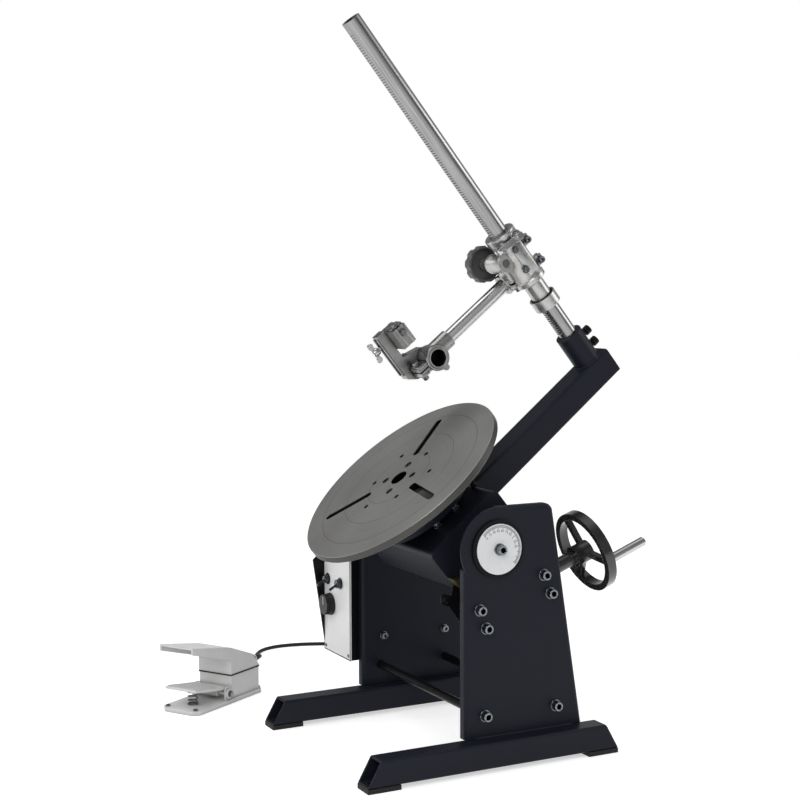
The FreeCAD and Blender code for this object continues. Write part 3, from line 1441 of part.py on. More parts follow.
def foot_switch_cord():
    """The gland stands level on the rear slope of the cover; the cord runs from its mouth."""
    nut = rod("gland_radius", "gland_mouth - case_slope", "gland_x", "case_slope", "gland_z", "y")
    node("pedal_cord_gland", cut(framed(held(nut), "pedal"), NODES["pedal_cover"]))
    placed = Placement(Vector(size.pedal_x, size.pedal_y, 0), Rotation(Vector(0, 0, 1), size.pedal_turn))
    mouth = placed.multVec(Vector(size.gland_x, size.gland_mouth, size.gland_z))
    box_mouth = Vector(size.coil_x + size.coil_orbit, size.box_gland_y, size.box_bottom - size.gland_length)
    tubes = [
        cord_tube([mouth] + [Vector(*point) for point in CORD], size.cord_radius),
        cord_tube([Vector(*point) for point in BOX_CORD] + [box_mouth], size.cord_radius),
    ]
    node("pedal_cord", formed("pedal_cord", Part.makeCompound(tubes)))
    coil = doc.addObject("Part::Torus", "Coil")
    bind(coil, Radius1="coil_orbit", Radius2="coil_section")
    node("pedal_cord_coil", at(coil, "coil_x", "coil_y", "coil_section"))


def build():
    stand()
    head_frame()
    trunnions()
    worm_sector()
    spindle()
    faceplate()
    bent_arm()
    worm_drive()
    handwheel()
    column()
    cross_arm()
    cross_clamp()
    clamp_knob()
    clamp_lever()
    arm_pinion()
    torch_ring()
    torch_block()
    control_box()
    switches()
    foot_switch()
    tread_spring()
    foot_switch_cord()
    doc.recompute()
    failed = [item.Label for item in doc.Objects if {"Invalid", "Error"} & set(item.State)]
    if failed:
        raise RuntimeError("not computed: " + ", ".join(failed))
    os.makedirs("parts", exist_ok=True)
    for label, item in NODES.items():
        if item.Shape.isNull() or not item.Shape.isValid():
            raise RuntimeError(f"{label}: no valid shape")
    for label, item in NODES.items():
        item.Shape.exportStep(f"parts/{label}.step")
    print(len(NODES), "pieces")


build()
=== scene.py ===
# Dresses a bench welding positioner: finishes, fasteners, scales, cord, lights and camera.
import json
import math

import bmesh
import bpy
from bpy.props import FloatProperty, FloatVectorProperty, PointerProperty
from mathutils import Matrix, Vector


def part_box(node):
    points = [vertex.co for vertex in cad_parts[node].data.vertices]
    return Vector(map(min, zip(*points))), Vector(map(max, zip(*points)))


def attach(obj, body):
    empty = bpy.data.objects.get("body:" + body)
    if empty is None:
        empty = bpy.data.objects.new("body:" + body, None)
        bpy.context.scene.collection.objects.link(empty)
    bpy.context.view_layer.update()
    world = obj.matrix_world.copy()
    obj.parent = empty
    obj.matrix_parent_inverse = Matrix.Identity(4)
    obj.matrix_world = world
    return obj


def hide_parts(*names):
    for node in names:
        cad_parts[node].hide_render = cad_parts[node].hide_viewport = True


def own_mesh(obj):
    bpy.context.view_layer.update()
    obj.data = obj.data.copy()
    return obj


bl_info = {
    "name": "Welding Positioner",
    "version": (1, 0, 0),
    "blender": (4, 5, 0),
    "location": "View3D > Sidebar > Positioner",
    "description": "Finishes, fasteners, scales, cord, lights and camera of a bench welding positioner",
    "category": "Object",
}

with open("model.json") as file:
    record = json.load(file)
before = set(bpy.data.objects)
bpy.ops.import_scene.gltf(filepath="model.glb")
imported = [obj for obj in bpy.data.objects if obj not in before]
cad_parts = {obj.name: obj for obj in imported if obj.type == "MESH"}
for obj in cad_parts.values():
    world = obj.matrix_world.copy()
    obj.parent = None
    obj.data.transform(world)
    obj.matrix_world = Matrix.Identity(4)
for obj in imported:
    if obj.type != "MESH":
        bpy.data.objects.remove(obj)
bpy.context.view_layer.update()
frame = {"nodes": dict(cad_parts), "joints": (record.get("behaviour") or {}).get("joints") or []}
JOINTS = {joint["name"]: joint for joint in frame["joints"]}
NODES = frame["nodes"]
UP = Vector((0, 0, 1))
MM = 0.001


# Frames of the object's own pieces, in which each is modelled upright

def upright_on(joint, along):
    """A frame at a joint whose Z runs along another joint's axis."""
    turn = UP.rotation_difference(Vector(JOINTS[along]["axis"]))
    return Matrix.Translation(JOINTS[joint]["pos_m"]) @ turn.to_matrix().to_4x4()


def facing(normal):
    """A turn that brings Z to a direction and keeps X level."""
    out = Vector(normal).normalized()
    side = UP.cross(out)
    if side.length < 0.01:
        side = Vector((1, 0, 0))
    side.normalize()
    return Matrix((side, out.cross(side), out)).transposed().to_4x4()


def shift(x, y, z):
    """A move by millimetres."""
    return Matrix.Translation((x * MM, y * MM, z * MM))


def seated(x, y, z, normal=(0, 0, 1), within=Matrix()):
    """The place of a fastener that stands on a surface, in millimetres of a frame."""
    return within @ shift(x, y, z) @ facing(normal)


HEAD = upright_on("tilt", "turn")
TABLE = upright_on("turn", "turn")
WORM = upright_on("worm_turn", "worm_turn")
TREAD_AXIS = Vector(JOINTS["tread_press"]["axis"])
PEDAL = Matrix.Translation(
    (JOINTS["tread_press"]["pos_m"][0], JOINTS["tread_press"]["pos_m"][1], 0)
) @ Matrix.Rotation(math.atan2(TREAD_AXIS.y, TREAD_AXIS.x), 4, "Z")
TILT = Vector(JOINTS["tilt"]["pos_m"])
NEARWARD = (1, 0, 0)
FARWARD = (-1, 0, 0)
FORWARD = (0, -1, 0)
DOWN = (0, 0, -1)


def across(v, n, x=0.0):
    """A place in the head's frame whose Z runs along the machine's X."""
    return HEAD @ shift(x, v, n) @ Matrix.Rotation(math.pi / 2, 4, "Y")


def closed(*outline):
    """An outline that ends where it starts, for a ring."""
    return [*outline, outline[0]]


# Mesh making

def new_mesh():
    return bmesh.new()


def place(mesh, verts, matrix):
    bmesh.ops.transform(mesh, matrix=matrix, verts=verts)
    return verts


def lathe(mesh, outline, matrix=Matrix(), steps=48):
    """Spins an outline of (radius, height) in millimetres round Z and sets it in place."""
    verts = [mesh.verts.new((radius * MM, 0, height * MM)) for radius, height in outline]
    edges = [mesh.edges.new(pair) for pair in zip(verts, verts[1:])]
    before = set(mesh.verts)
    bmesh.ops.spin(
        mesh, geom=verts + edges, axis=(0, 0, 1), cent=(0, 0, 0), angle=math.tau, steps=steps, use_merge=True
    )
    made = verts + [vert for vert in mesh.verts if vert not in before]
    bmesh.ops.remove_doubles(mesh, verts=made, dist=1e-6)
    made = [vert for vert in made if vert.is_valid]
    return place(mesh, made, matrix)


def ring_edges(verts):
    chosen = set(verts)
    return list({edge for vert in verts for edge in vert.link_edges if set(edge.verts) <= chosen})


def round_loop(mesh, radius, height, corners=24):
    made = bmesh.ops.create_circle(mesh, segments=corners, radius=radius * MM)["verts"]
    return place(mesh, made, Matrix.Translation((0, 0, height * MM)))


def hex_loop(mesh, radius, height):
    made = bmesh.ops.create_circle(mesh, segments=24, radius=radius * MM)["verts"]
    for vert in made:
        off_flat = (math.atan2(vert.co.y, vert.co.x) + math.pi / 6) % (math.pi / 3) - math.pi / 6
        vert.co *= math.cos(math.pi / 6) / math.cos(off_flat)
    return place(mesh, made, Matrix.Translation((0, 0, height * MM)))


def stack(mesh, loops, matrix):
    """Joins loops into one closed skin and sets it in place."""
    for lower, upper in zip(loops, loops[1:]):
        bmesh.ops.bridge_loops(mesh, edges=ring_edges(lower) + ring_edges(upper))
    for end in (loops[0], loops[-1]):
        bmesh.ops.contextual_create(mesh, geom=ring_edges(end))
    place(mesh, [vert for loop in loops for vert in loop], matrix)


def cap_screw(mesh, matrix, radius=6.5, height=8.0, washer=8.0, sink=4.0):
    """A socket head screw with a hexagon socket, on a washer when one is given."""
    base = 1.6 if washer else 0.0
    if washer:
        lathe(mesh, [(0, 0), (washer, 0), (washer, 1.3), (washer - 0.3, base), (0, base)], matrix, 32)
    top = base + height
    loops = [
        round_loop(mesh, radius * 0.94, base),
        round_loop(mesh, radius, base + height * 0.05),
        round_loop(mesh, radius, base + height * 0.86),
        round_loop(mesh, radius * 0.97, base + height * 0.95),
        round_loop(mesh, radius * 0.9, top),
        round_loop(mesh, radius * 0.58, top),
        hex_loop(mesh, radius * 0.52, top - 0.3),
        hex_loop(mesh, radius * 0.52, top - sink),
    ]
    stack(mesh, loops, matrix)


def hex_bolt(mesh, matrix, radius=5.5, height=4.5, washer=0.0):
    """A hexagon head, chamfered on top, on a washer when one is given."""
    base = 1.2 if washer else 0.0
    if washer:
        lathe(mesh, [(0, 0), (washer, 0), (washer, base), (0, base)], matrix, 28)
    loops = [
        hex_loop(mesh, radius, base),
        hex_loop(mesh, radius, base + height * 0.86),
        round_loop(mesh, radius * 0.83, base + height),
    ]
    stack(mesh, loops, matrix)


def block(mesh, size, matrix=Matrix(), edge=0.0):
    """A block of given size in millimetres about its middle, with its edges rounded."""
    made = bmesh.ops.create_cube(mesh, size=1)["verts"]
    bmesh.ops.scale(mesh, vec=[length * MM for length in size], verts=made)
    if edge:
        edges = list({item for vert in made for item in vert.link_edges})
        cut = bmesh.ops.bevel(
            mesh, geom=edges, offset=edge * MM, segments=2, profile=0.5, affect="EDGES", material=-1
        )
        made = list({vert for face in cut["faces"] for vert in face.verts} | {v for v in made if v.is_valid})
    return place(mesh, made, matrix)


def push(mesh, outline, by):
    """A solid between a flat outline of points in millimetres and its copy moved by a vector."""
    face = mesh.faces.new([mesh.verts.new(Vector(point) * MM) for point in outline])
    made = bmesh.ops.extrude_face_region(mesh, geom=[face])["geom"]
    moved = [item for item in made if isinstance(item, bmesh.types.BMVert)]
    bmesh.ops.translate(mesh, vec=Vector(by) * MM, verts=moved)


def wire(name, points, thickness, kind="NURBS", facets=5, steps=6):
    """A curve of round section along points in metres."""
    data = bpy.data.curves.new(name, "CURVE")
    data.dimensions = "3D"
    data.bevel_depth = thickness
    data.bevel_resolution = facets
    data.resolution_u = steps
    data.use_fill_caps = True
    spline = data.splines.new(kind)
    spline.points.add(len(points) - 1)
    for control, point in zip(spline.points, points):
        control.co = (*point, 1)
    spline.order_u = 3
    spline.use_endpoint_u = True
    piece = bpy.data.objects.new(name, data)
    bpy.context.scene.collection.objects.link(piece)
    return piece


def finish_piece(name, mesh, finish, body, smooth=35.0):
    """Turns a finished mesh into an object that rides on a body."""
    bmesh.ops.remove_doubles(mesh, verts=mesh.verts, dist=1e-7)
    bmesh.ops.recalc_face_normals(mesh, faces=mesh.faces)
    data = bpy.data.meshes.new(name)
    mesh.to_mesh(data)
    mesh.free()
    data.shade_smooth()
    data.set_sharp_from_angle(angle=math.radians(smooth))
    data.materials.append(bpy.data.materials[finish])
    piece = bpy.data.objects.new(name, data)
    bpy.context.scene.collection.objects.link(piece)
    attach(piece, body)
    return piece


# Material making

def add(tree, kind, values=(), **settings):
    """Adds a node; each value is a number, a colour or the output of another node."""
    node = tree.nodes.new("ShaderNode" + kind)
    for key, value in settings.items():
        setattr(node, key, value)
    for key, value in dict(values).items():
        if isinstance(value, bpy.types.NodeSocket):
            tree.links.new(value, node.inputs[key])
        else:
            node.inputs[key].default_value = value
    return node


def node_group(name, inputs, outputs):
    """An empty shader group with named sockets and its two end nodes."""
    group = bpy.data.node_groups.new(name, "ShaderNodeTree")
    for label, kind, default in inputs:
        socket = group.interface.new_socket(label, in_out="INPUT", socket_type="NodeSocket" + kind)
        if default is not None:
            socket.default_value = default
    for label, kind in outputs:
        group.interface.new_socket(label, in_out="OUTPUT", socket_type="NodeSocket" + kind)
    return group, group.nodes.new("NodeGroupInput").outputs, group.nodes.new("NodeGroupOutput").inputs


def maths(tree, operation, first, second=0.0, third=0.0, clamp=False):
    values = {0: first, 1: second, 2: third}
    return add(tree, "Math", values, operation=operation, use_clamp=clamp).outputs[0]


def noise(tree, where, scale, detail):
    return add(tree, "TexNoise", {"Vector": where, "Scale": scale, "Detail": detail}).outputs[0]


def mix_colours(tree, share, first, second):
    return add(tree, "Mix", {0: share, 6: first, 7: second}, data_type="RGBA").outputs[2]


def mix_numbers(tree, share, first, second):
    return add(tree, "Mix", {0: share, 2: first, 3: second}, data_type="FLOAT").outputs[0]


def skin_group():
    """Mottled colour, uneven gloss, fine grain, softened edges that take an edge colour for wear and a
    painted highlight, and painted shade that darkens crevices, for painted and cast surfaces.
    """
    group, given, out = node_group(
        "Surface skin",
        (
            ("Colour", "Color", (0.5, 0.5, 0.5, 1)),
            ("Mottle", "Float", 0.1),
            ("Mottle Scale", "Float", 30.0),
            ("Roughness", "Float", 0.5),
            ("Gloss Spread", "Float", 0.1),
            ("Grain Scale", "Float", 400.0),
            ("Grain Height", "Float", 0.00003),
            # Edge colour and its share: partly paint worn off the edges, partly a painted highlight along
            # rounded edges and bends
            ("Edge Colour", "Color", (0.5, 0.5, 0.5, 1)),
            ("Edge Wear", "Float", 0.2),
            ("Edge Width", "Float", 0.0008),
            # Strength and reach of the painted shade that darkens crevices
            ("Grime", "Float", 0.0),
            ("Grime Reach", "Float", 0.004),
        ),
        (("Colour", "Color"), ("Roughness", "Float"), ("Normal", "Vector")),
    )
    where = add(group, "TexCoord").outputs["Object"]
    cloud = noise(group, where, given["Mottle Scale"], 4.0)
    signed = maths(group, "MULTIPLY_ADD", cloud, 2.0, -1.0)
    swing = maths(group, "MULTIPLY", signed, given["Mottle"])
    level = maths(group, "ADD", swing, 1.0)
    tinted = add(group, "HueSaturation", {"Value": level, "Color": given["Colour"]}).outputs[0]
    grain = noise(group, where, given["Grain Scale"], 3.0)
    # Edges take the edge colour, patchy with the grain: partly wear, partly a painted highlight on rounded
    # edges and bends.
    soft = add(group, "Bevel", {"Radius": given["Edge Width"]}, samples=4).outputs[0]
    flat = add(group, "NewGeometry").outputs["Normal"]
    match = add(group, "VectorMath", {0: soft, 1: flat}, operation="DOT_PRODUCT").outputs["Value"]
    turned = maths(group, "SUBTRACT", 1.0, match, clamp=True)
    edge_band = maths(group, "MULTIPLY", turned, 8.0, clamp=True)
    patchy = maths(group, "MULTIPLY", edge_band, grain)
    edge_share = maths(group, "MULTIPLY", patchy, given["Edge Wear"], clamp=True)
    colour = mix_colours(group, edge_share, tinted, given["Edge Colour"])
    # Painted shade: the colour is darkened where ambient occlusion finds surfaces close by, in crevices,
    # holes and between parts.
    open_air = add(group, "AmbientOcclusion", {"Distance": given["Grime Reach"]}, samples=6).outputs["AO"]
    shut_in = maths(group, "SUBTRACT", 1.0, open_air, clamp=True)
    shade_depth = maths(group, "MULTIPLY", shut_in, given["Grime"], clamp=True)
    shade_level = maths(group, "SUBTRACT", 1.0, shade_depth, clamp=True)
    shaded_colour = add(group, "HueSaturation", {"Value": shade_level, "Color": colour}).outputs[0]
    group.links.new(shaded_colour, out["Colour"])
    spread = maths(group, "MULTIPLY", signed, given["Gloss Spread"])
    group.links.new(maths(group, "ADD", given["Roughness"], spread, clamp=True), out["Roughness"])
    bump = add(
        group, "Bump", {"Height": grain, "Distance": given["Grain Height"], "Normal": soft, "Strength": 1.0}
    )
    group.links.new(bump.outputs[0], out["Normal"])


def turning_group():
    """Fine rings that a lathe leaves about the Z axis of the coordinates given."""
    group, given, out = node_group(
        "Turning marks",
        (("Vector", "Vector", None), ("Ring Pitch", "Float", 0.0006), ("Streak", "Float", 0.5)),
        (("Rings", "Float"), ("Radius", "Float")),
    )
    flat = add(group, "VectorMath", {0: given["Vector"], 1: (1, 1, 0)}, operation="MULTIPLY").outputs[0]
    radius = add(group, "VectorMath", {0: flat}, operation="LENGTH").outputs["Value"]
    count = maths(group, "DIVIDE", radius, given["Ring Pitch"])
    fine = add(group, "TexNoise", {"W": count, "Scale": 1.0, "Detail": 2.0}, noise_dimensions="1D").outputs[0]
    slow = maths(group, "MULTIPLY", radius, 140.0)
    broad = add(group, "TexNoise", {"W": slow, "Detail": 3.0}, noise_dimensions="1D").outputs[0]
    group.links.new(mix_numbers(group, given["Streak"], broad, fine), out["Rings"])
    group.links.new(radius, out["Radius"])


def drawn_group():
    """Long fine streaks along the Z axis of the coordinates given, as on ground and plated bar."""
    group, given, out = node_group(
        "Drawn streaks",
        (("Vector", "Vector", None), ("Across", "Float", 900.0), ("Along", "Float", 12.0)),
        (("Streaks", "Float"),),
    )
    parts = add(group, "SeparateXYZ", {0: given["Vector"]}).outputs
    wide = [maths(group, "MULTIPLY", parts[axis], given["Across"]) for axis in ("X", "Y")]
    long = maths(group, "MULTIPLY", parts["Z"], given["Along"])
    scaled = add(group, "CombineXYZ", {"X": wide[0], "Y": wide[1], "Z": long}).outputs[0]
    group.links.new(noise(group, scaled, 1.0, 3.0), out["Streaks"])


def new_material(name):
    """A material's node tree and the inputs of its shader."""
    material = bpy.data.materials.new(name)
    material.use_nodes = True
    return material.node_tree, material.node_tree.nodes["Principled BSDF"].inputs


def set_colour(colour):
    return (*colour, 1.0)


def grey(level):
    return (level, level, level)


def use_group(tree, name, **values):
    node = tree.nodes.new("ShaderNodeGroup")
    node.node_tree = bpy.data.node_groups[name]
    for label, value in values.items():
        socket = node.inputs[label.replace("_", " ").title()]
        if isinstance(value, bpy.types.NodeSocket):
            tree.links.new(value, socket)
        else:
            socket.default_value = value
    return node.outputs


def skinned(name, colour, roughness, metallic=0.0, coat=0.0, specular=0.5, edge_colour=grey(0.5), **skin):
    """A material on the surface skin group; skin gives the group's own inputs."""
    tree, shader = new_material(name)
    made = use_group(
        tree, "Surface skin", colour=set_colour(colour), roughness=roughness,
        edge_colour=set_colour(edge_colour), **skin,
    )
    shader["Metallic"].default_value = metallic
    shader["Coat Weight"].default_value = coat
    shader["Coat Roughness"].default_value = 0.15
    shader["Specular IOR Level"].default_value = specular
    for label, source in (("Base Color", "Colour"), ("Roughness", "Roughness"), ("Normal", "Normal")):
        tree.links.new(made[source], shader[label])


def mapped(tree, matrix):
    """Object coordinates moved into a frame, so that a pattern is centred on its piece."""
    where = add(tree, "TexCoord").outputs["Object"]
    inverse = matrix.inverted()
    mapping = add(tree, "Mapping", {"Vector": where})
    mapping.inputs["Location"].default_value = inverse.to_translation()
    mapping.inputs["Rotation"].default_value = inverse.to_euler()
    return mapping.outputs[0]


def ramp(tree, factor, *stops):
    """A colour ramp from (position, colour) stops."""
    node = add(tree, "ValToRGB", {0: factor})
    elements = node.color_ramp.elements
    elements[0].position, elements[0].color = stops[0][0], set_colour(stops[0][1])
    elements[1].position, elements[1].color = stops[1][0], set_colour(stops[1][1])
    for position, colour in stops[2:]:
        elements.new(position).color = set_colour(colour)
    return node.outputs[0]


def tooled(tree, shader, marks, relief, roughness, spread, depth, soften):
    """Gives a metal the gloss and the relief of its tool marks, on softened edges."""
    tree.links.new(maths(tree, "MULTIPLY_ADD", marks, spread, roughness - spread / 2), shader["Roughness"])
    soft = add(tree, "Bevel", {"Radius": soften}, samples=4).outputs[0]
    bump = add(tree, "Bump", {"Height": relief, "Distance": depth, "Normal": soft})
    tree.links.new(bump.outputs[0], shader["Normal"])


def turned_steel(name, matrix, dark, light, roughness=0.42, scribed=(), slot_shade=(), rim=0):
    """Machined steel with turning rings and scribed circles (radii in millimetres). Slot walls below the
    first figure of sunk and within its second are painted near black as painted shade, and past the radius
    rim the steel is painted darker as painted shade."""
    tree, shader = new_material(name)
    where = mapped(tree, matrix)
    rings = use_group(tree, "Turning marks", vector=where, ring_pitch=0.0007, streak=0.45)
    cloud = noise(tree, where, 9.0, 3.0)
    blend = mix_numbers(tree, 0.45, rings["Rings"], cloud)
    colour = ramp(tree, blend, (0.3, dark), (0.7, light))
    height = rings["Rings"]
    scribe_width = 0.00028
    for radius in scribed:
        gap = maths(tree, "ABSOLUTE", maths(tree, "SUBTRACT", rings["Radius"], radius * MM))
        line = maths(tree, "LESS_THAN", gap, scribe_width)
        colour = mix_colours(tree, line, colour, set_colour([value * 0.45 for value in dark]))
        height = maths(tree, "SUBTRACT", height, line)
    # Painted shade: the slot walls, below the face and within the slot radius, are painted near black.
    if slot_shade:
        below = maths(tree, "LESS_THAN", add(tree, "SeparateXYZ", {0: where}).outputs["Z"], slot_shade[0] * MM)
        inside = maths(tree, "LESS_THAN", rings["Radius"], slot_shade[1] * MM)
        colour = mix_colours(tree, maths(tree, "MULTIPLY", below, inside), colour, set_colour(grey(0.004)))
    # Painted shade: past the radius rim, the faceplate's outer edge is painted darker.
    if rim:
        outside = maths(tree, "GREATER_THAN", rings["Radius"], rim * MM)
        colour = mix_colours(tree, outside, colour, set_colour([value * 0.3 for value in dark]))
    tree.links.new(colour, shader["Base Color"])
    shader["Metallic"].default_value = 0.85
    tooled(tree, shader, rings["Rings"], height, roughness, spread=0.16, depth=0.00002, soften=0.0006)


def plated_bar(name, matrix, dark, light, roughness):
    """Ground and plated bar with drawn streaks along its length."""
    tree, shader = new_material(name)
    streaks = use_group(tree, "Drawn streaks", vector=mapped(tree, matrix))["Streaks"]
    tree.links.new(ramp(tree, streaks, (0.3, dark), (0.7, light)), shader["Base Color"])
    shader["Metallic"].default_value = 1.0
    tooled(tree, shader, streaks, streaks, roughness, spread=0.12, depth=0.000004, soften=0.0004)


# Sizes and colours that a user would change

class PositionerFinish(bpy.types.PropertyGroup):
    paint: FloatVectorProperty(
        name="Frame paint",
        description="Powder coat of the stand, the head and the arm",
        subtype="COLOR",
        default=(0.0108, 0.0128, 0.0205),
    )
    plate_dark: FloatVectorProperty(
        name="Faceplate dark",
        description="Darker rings of the machined faceplate",
        subtype="COLOR",
        default=(0.25, 0.248, 0.24),
    )
    plate_light: FloatVectorProperty(
        name="Faceplate light",
        description="Lighter rings of the machined faceplate",
        subtype="COLOR",
        default=(0.43, 0.427, 0.415),
    )
    panel: FloatVectorProperty(
        name="Panel paint",
        description="Front panel of the control box",
        subtype="COLOR",
        default=(0.9, 0.9, 0.895),
    )
    pedal: FloatVectorProperty(
        name="Foot switch paint",
        description="Paint of the foot switch castings",
        subtype="COLOR",
        default=(0.74, 0.74, 0.735),
    )


class PositionerCord(bpy.types.PropertyGroup):
    diameter: FloatProperty(
        name="Cord diameter",
        description="Outer diameter of the foot switch lead",
        unit="LENGTH",
        default=0.006,
    )
    length: FloatProperty(
        name="Cord length",
        description="Whole length of the foot switch lead",
        unit="LENGTH",
        default=1.88,
    )


class PositionerStage(bpy.types.PropertyGroup):
    lens: FloatProperty(name="Lens", description="Focal length of the camera in millimetres", default=67.25)
    pitch: FloatProperty(
        name="Camera pitch",
        description="Downward tilt of the camera",
        subtype="ANGLE",
        default=math.radians(4.14),
    )
    bearing: FloatProperty(
        name="Camera bearing",
        description="Turn of the camera about Z",
        subtype="ANGLE",
        default=math.radians(62.98),
    )
    roll: FloatProperty(
        name="Camera roll",
        description="Turn of the camera about its axis",
        subtype="ANGLE",
        default=math.radians(-0.197),
    )
    daylight: FloatProperty(name="Room light", description="Strength of the even room light", default=0.55)


# Operators

class POSITIONER_OT_stage(bpy.types.Operator):
    """Sets the floor, the lights and the camera"""

    bl_idname = "positioner.stage"
    bl_label = "Stage"

    # Light and dark strips of the studio, from behind the object round to the camera's side.
    BANDS = (
        (0.0, 0.9), (1.0, 0.35), (0.22, 0.2), (0.36, 0.85), (0.5, 1.0), (0.62, 0.3), (0.74, 0.12),
        (0.86, 0.6),
    )

    # Share of that light from the left of the camera round to its right.
    SIDES = ((0.0, 0.5), (1.0, 1.0), (0.4, 0.4), (0.56, 1.0), (0.8, 1.0))

    # Name, place and target in metres, side in metres and power in watts of each lamp.
    LAMPS = (
        ("Key softbox", (1.9, -1.7, 2.0), (0, 0, 0.4), 1.6, 26.0),
        ("Side softbox", (-1.6, -1.8, 1.3), (0, 0, 0.35), 1.2, 7.0),
        ("Back softbox", (0.9, 2.2, 1.5), (0, 0.1, 0.5), 1.0, 8.0),
        ("Top softbox", (-0.5, -0.7, 2.3), (-0.3, -0.1, 0.2), 1.2, 9.0),
    )
    CAMERA_AT = (1.8018, -0.9734, 0.6218)
    FLOOR_REACH = 15
    FLOOR_GLOW = 0.55

    def execute(self, context):
        stage = context.scene.positioner_stage
        self.camera(context.scene, stage)
        self.floor()
        self.room(context.scene, stage.daylight)
        for lamp in self.LAMPS:
            self.lamp(*lamp)
        context.scene.view_settings.view_transform = "Standard"
        return {"FINISHED"}

    def camera(self, scene, stage):
        data = bpy.data.cameras.new("Camera")
        data.lens = stage.lens
        data.sensor_width = 36.0
        data.clip_end = 100.0
        camera = bpy.data.objects.new("Camera", data)
        turn = (
            Matrix.Rotation(stage.bearing, 4, "Z")
            @ Matrix.Rotation(math.pi / 2 - stage.pitch, 4, "X")
            @ Matrix.Rotation(stage.roll, 4, "Z")
        )
        camera.matrix_world = Matrix.Translation(self.CAMERA_AT) @ turn
        scene.collection.objects.link(camera)
        scene.camera = camera

    def floor(self):
        mesh = new_mesh()
        bmesh.ops.create_grid(mesh, x_segments=1, y_segments=1, size=self.FLOOR_REACH)
        data = bpy.data.meshes.new("floor")
        mesh.to_mesh(data)
        mesh.free()
        tree, shader = new_material("Pale floor")
        shader["Base Color"].default_value = set_colour(grey(0.82))
        shader["Roughness"].default_value = 0.9
        shader["Specular IOR Level"].default_value = 0.1
        rays = add(tree, "LightPath").outputs
        seen = maths(tree, "MAXIMUM", rays["Is Camera Ray"], rays["Is Glossy Ray"])
        seen = maths(tree, "MAXIMUM", seen, rays["Is Transmission Ray"])
        shader["Emission Color"].default_value = set_colour(grey(1))
        tree.links.new(maths(tree, "MULTIPLY", seen, self.FLOOR_GLOW), shader["Emission Strength"])
        data.materials.append(bpy.data.materials["Pale floor"])
        floor = bpy.data.objects.new("floor", data)
        bpy.context.scene.collection.objects.link(floor)

    def room(self, scene, daylight):
        world = bpy.data.worlds.new("Room")
        scene.world = world
        world.use_nodes = True
        tree = world.node_tree
        rays = add(tree, "LightPath").outputs
        toward = add(tree, "TexCoord").outputs["Generated"]
        around = self.strips(tree, toward, (0.88, -0.47, 0.0), self.BANDS)
        aside = self.strips(tree, toward, (0.47, 0.88, 0.0), self.SIDES)
        dim = maths(tree, "MULTIPLY", around, aside)
        shiny = maths(tree, "MAXIMUM", rays["Is Glossy Ray"], rays["Is Transmission Ray"])
        lit = mix_numbers(tree, shiny, daylight, dim)
        background = tree.nodes["Background"].inputs
        background["Color"].default_value = set_colour(grey(1))
        tree.links.new(mix_numbers(tree, rays["Is Camera Ray"], lit, 1.0), background["Strength"])

    def strips(self, tree, toward, direction, levels):
        """Levels of light from one side of the room to the other."""
        reach = add(tree, "VectorMath", {0: toward, 1: direction}, operation="DOT_PRODUCT").outputs["Value"]
        share = maths(tree, "MULTIPLY_ADD", reach, 0.5, 0.5)
        return ramp(tree, share, *((at, grey(level)) for at, level in levels))

    def lamp(self, name, where, target, size, power):
        data = bpy.data.lights.new(name, "AREA")
        data.size = size
        data.energy = power
        lamp = bpy.data.objects.new(name, data)
        ray = Vector(where) - Vector(target)
        lamp.matrix_world = Matrix.Translation(where) @ ray.to_track_quat("Z", "Y").to_matrix().to_4x4()
        bpy.context.scene.collection.objects.link(lamp)


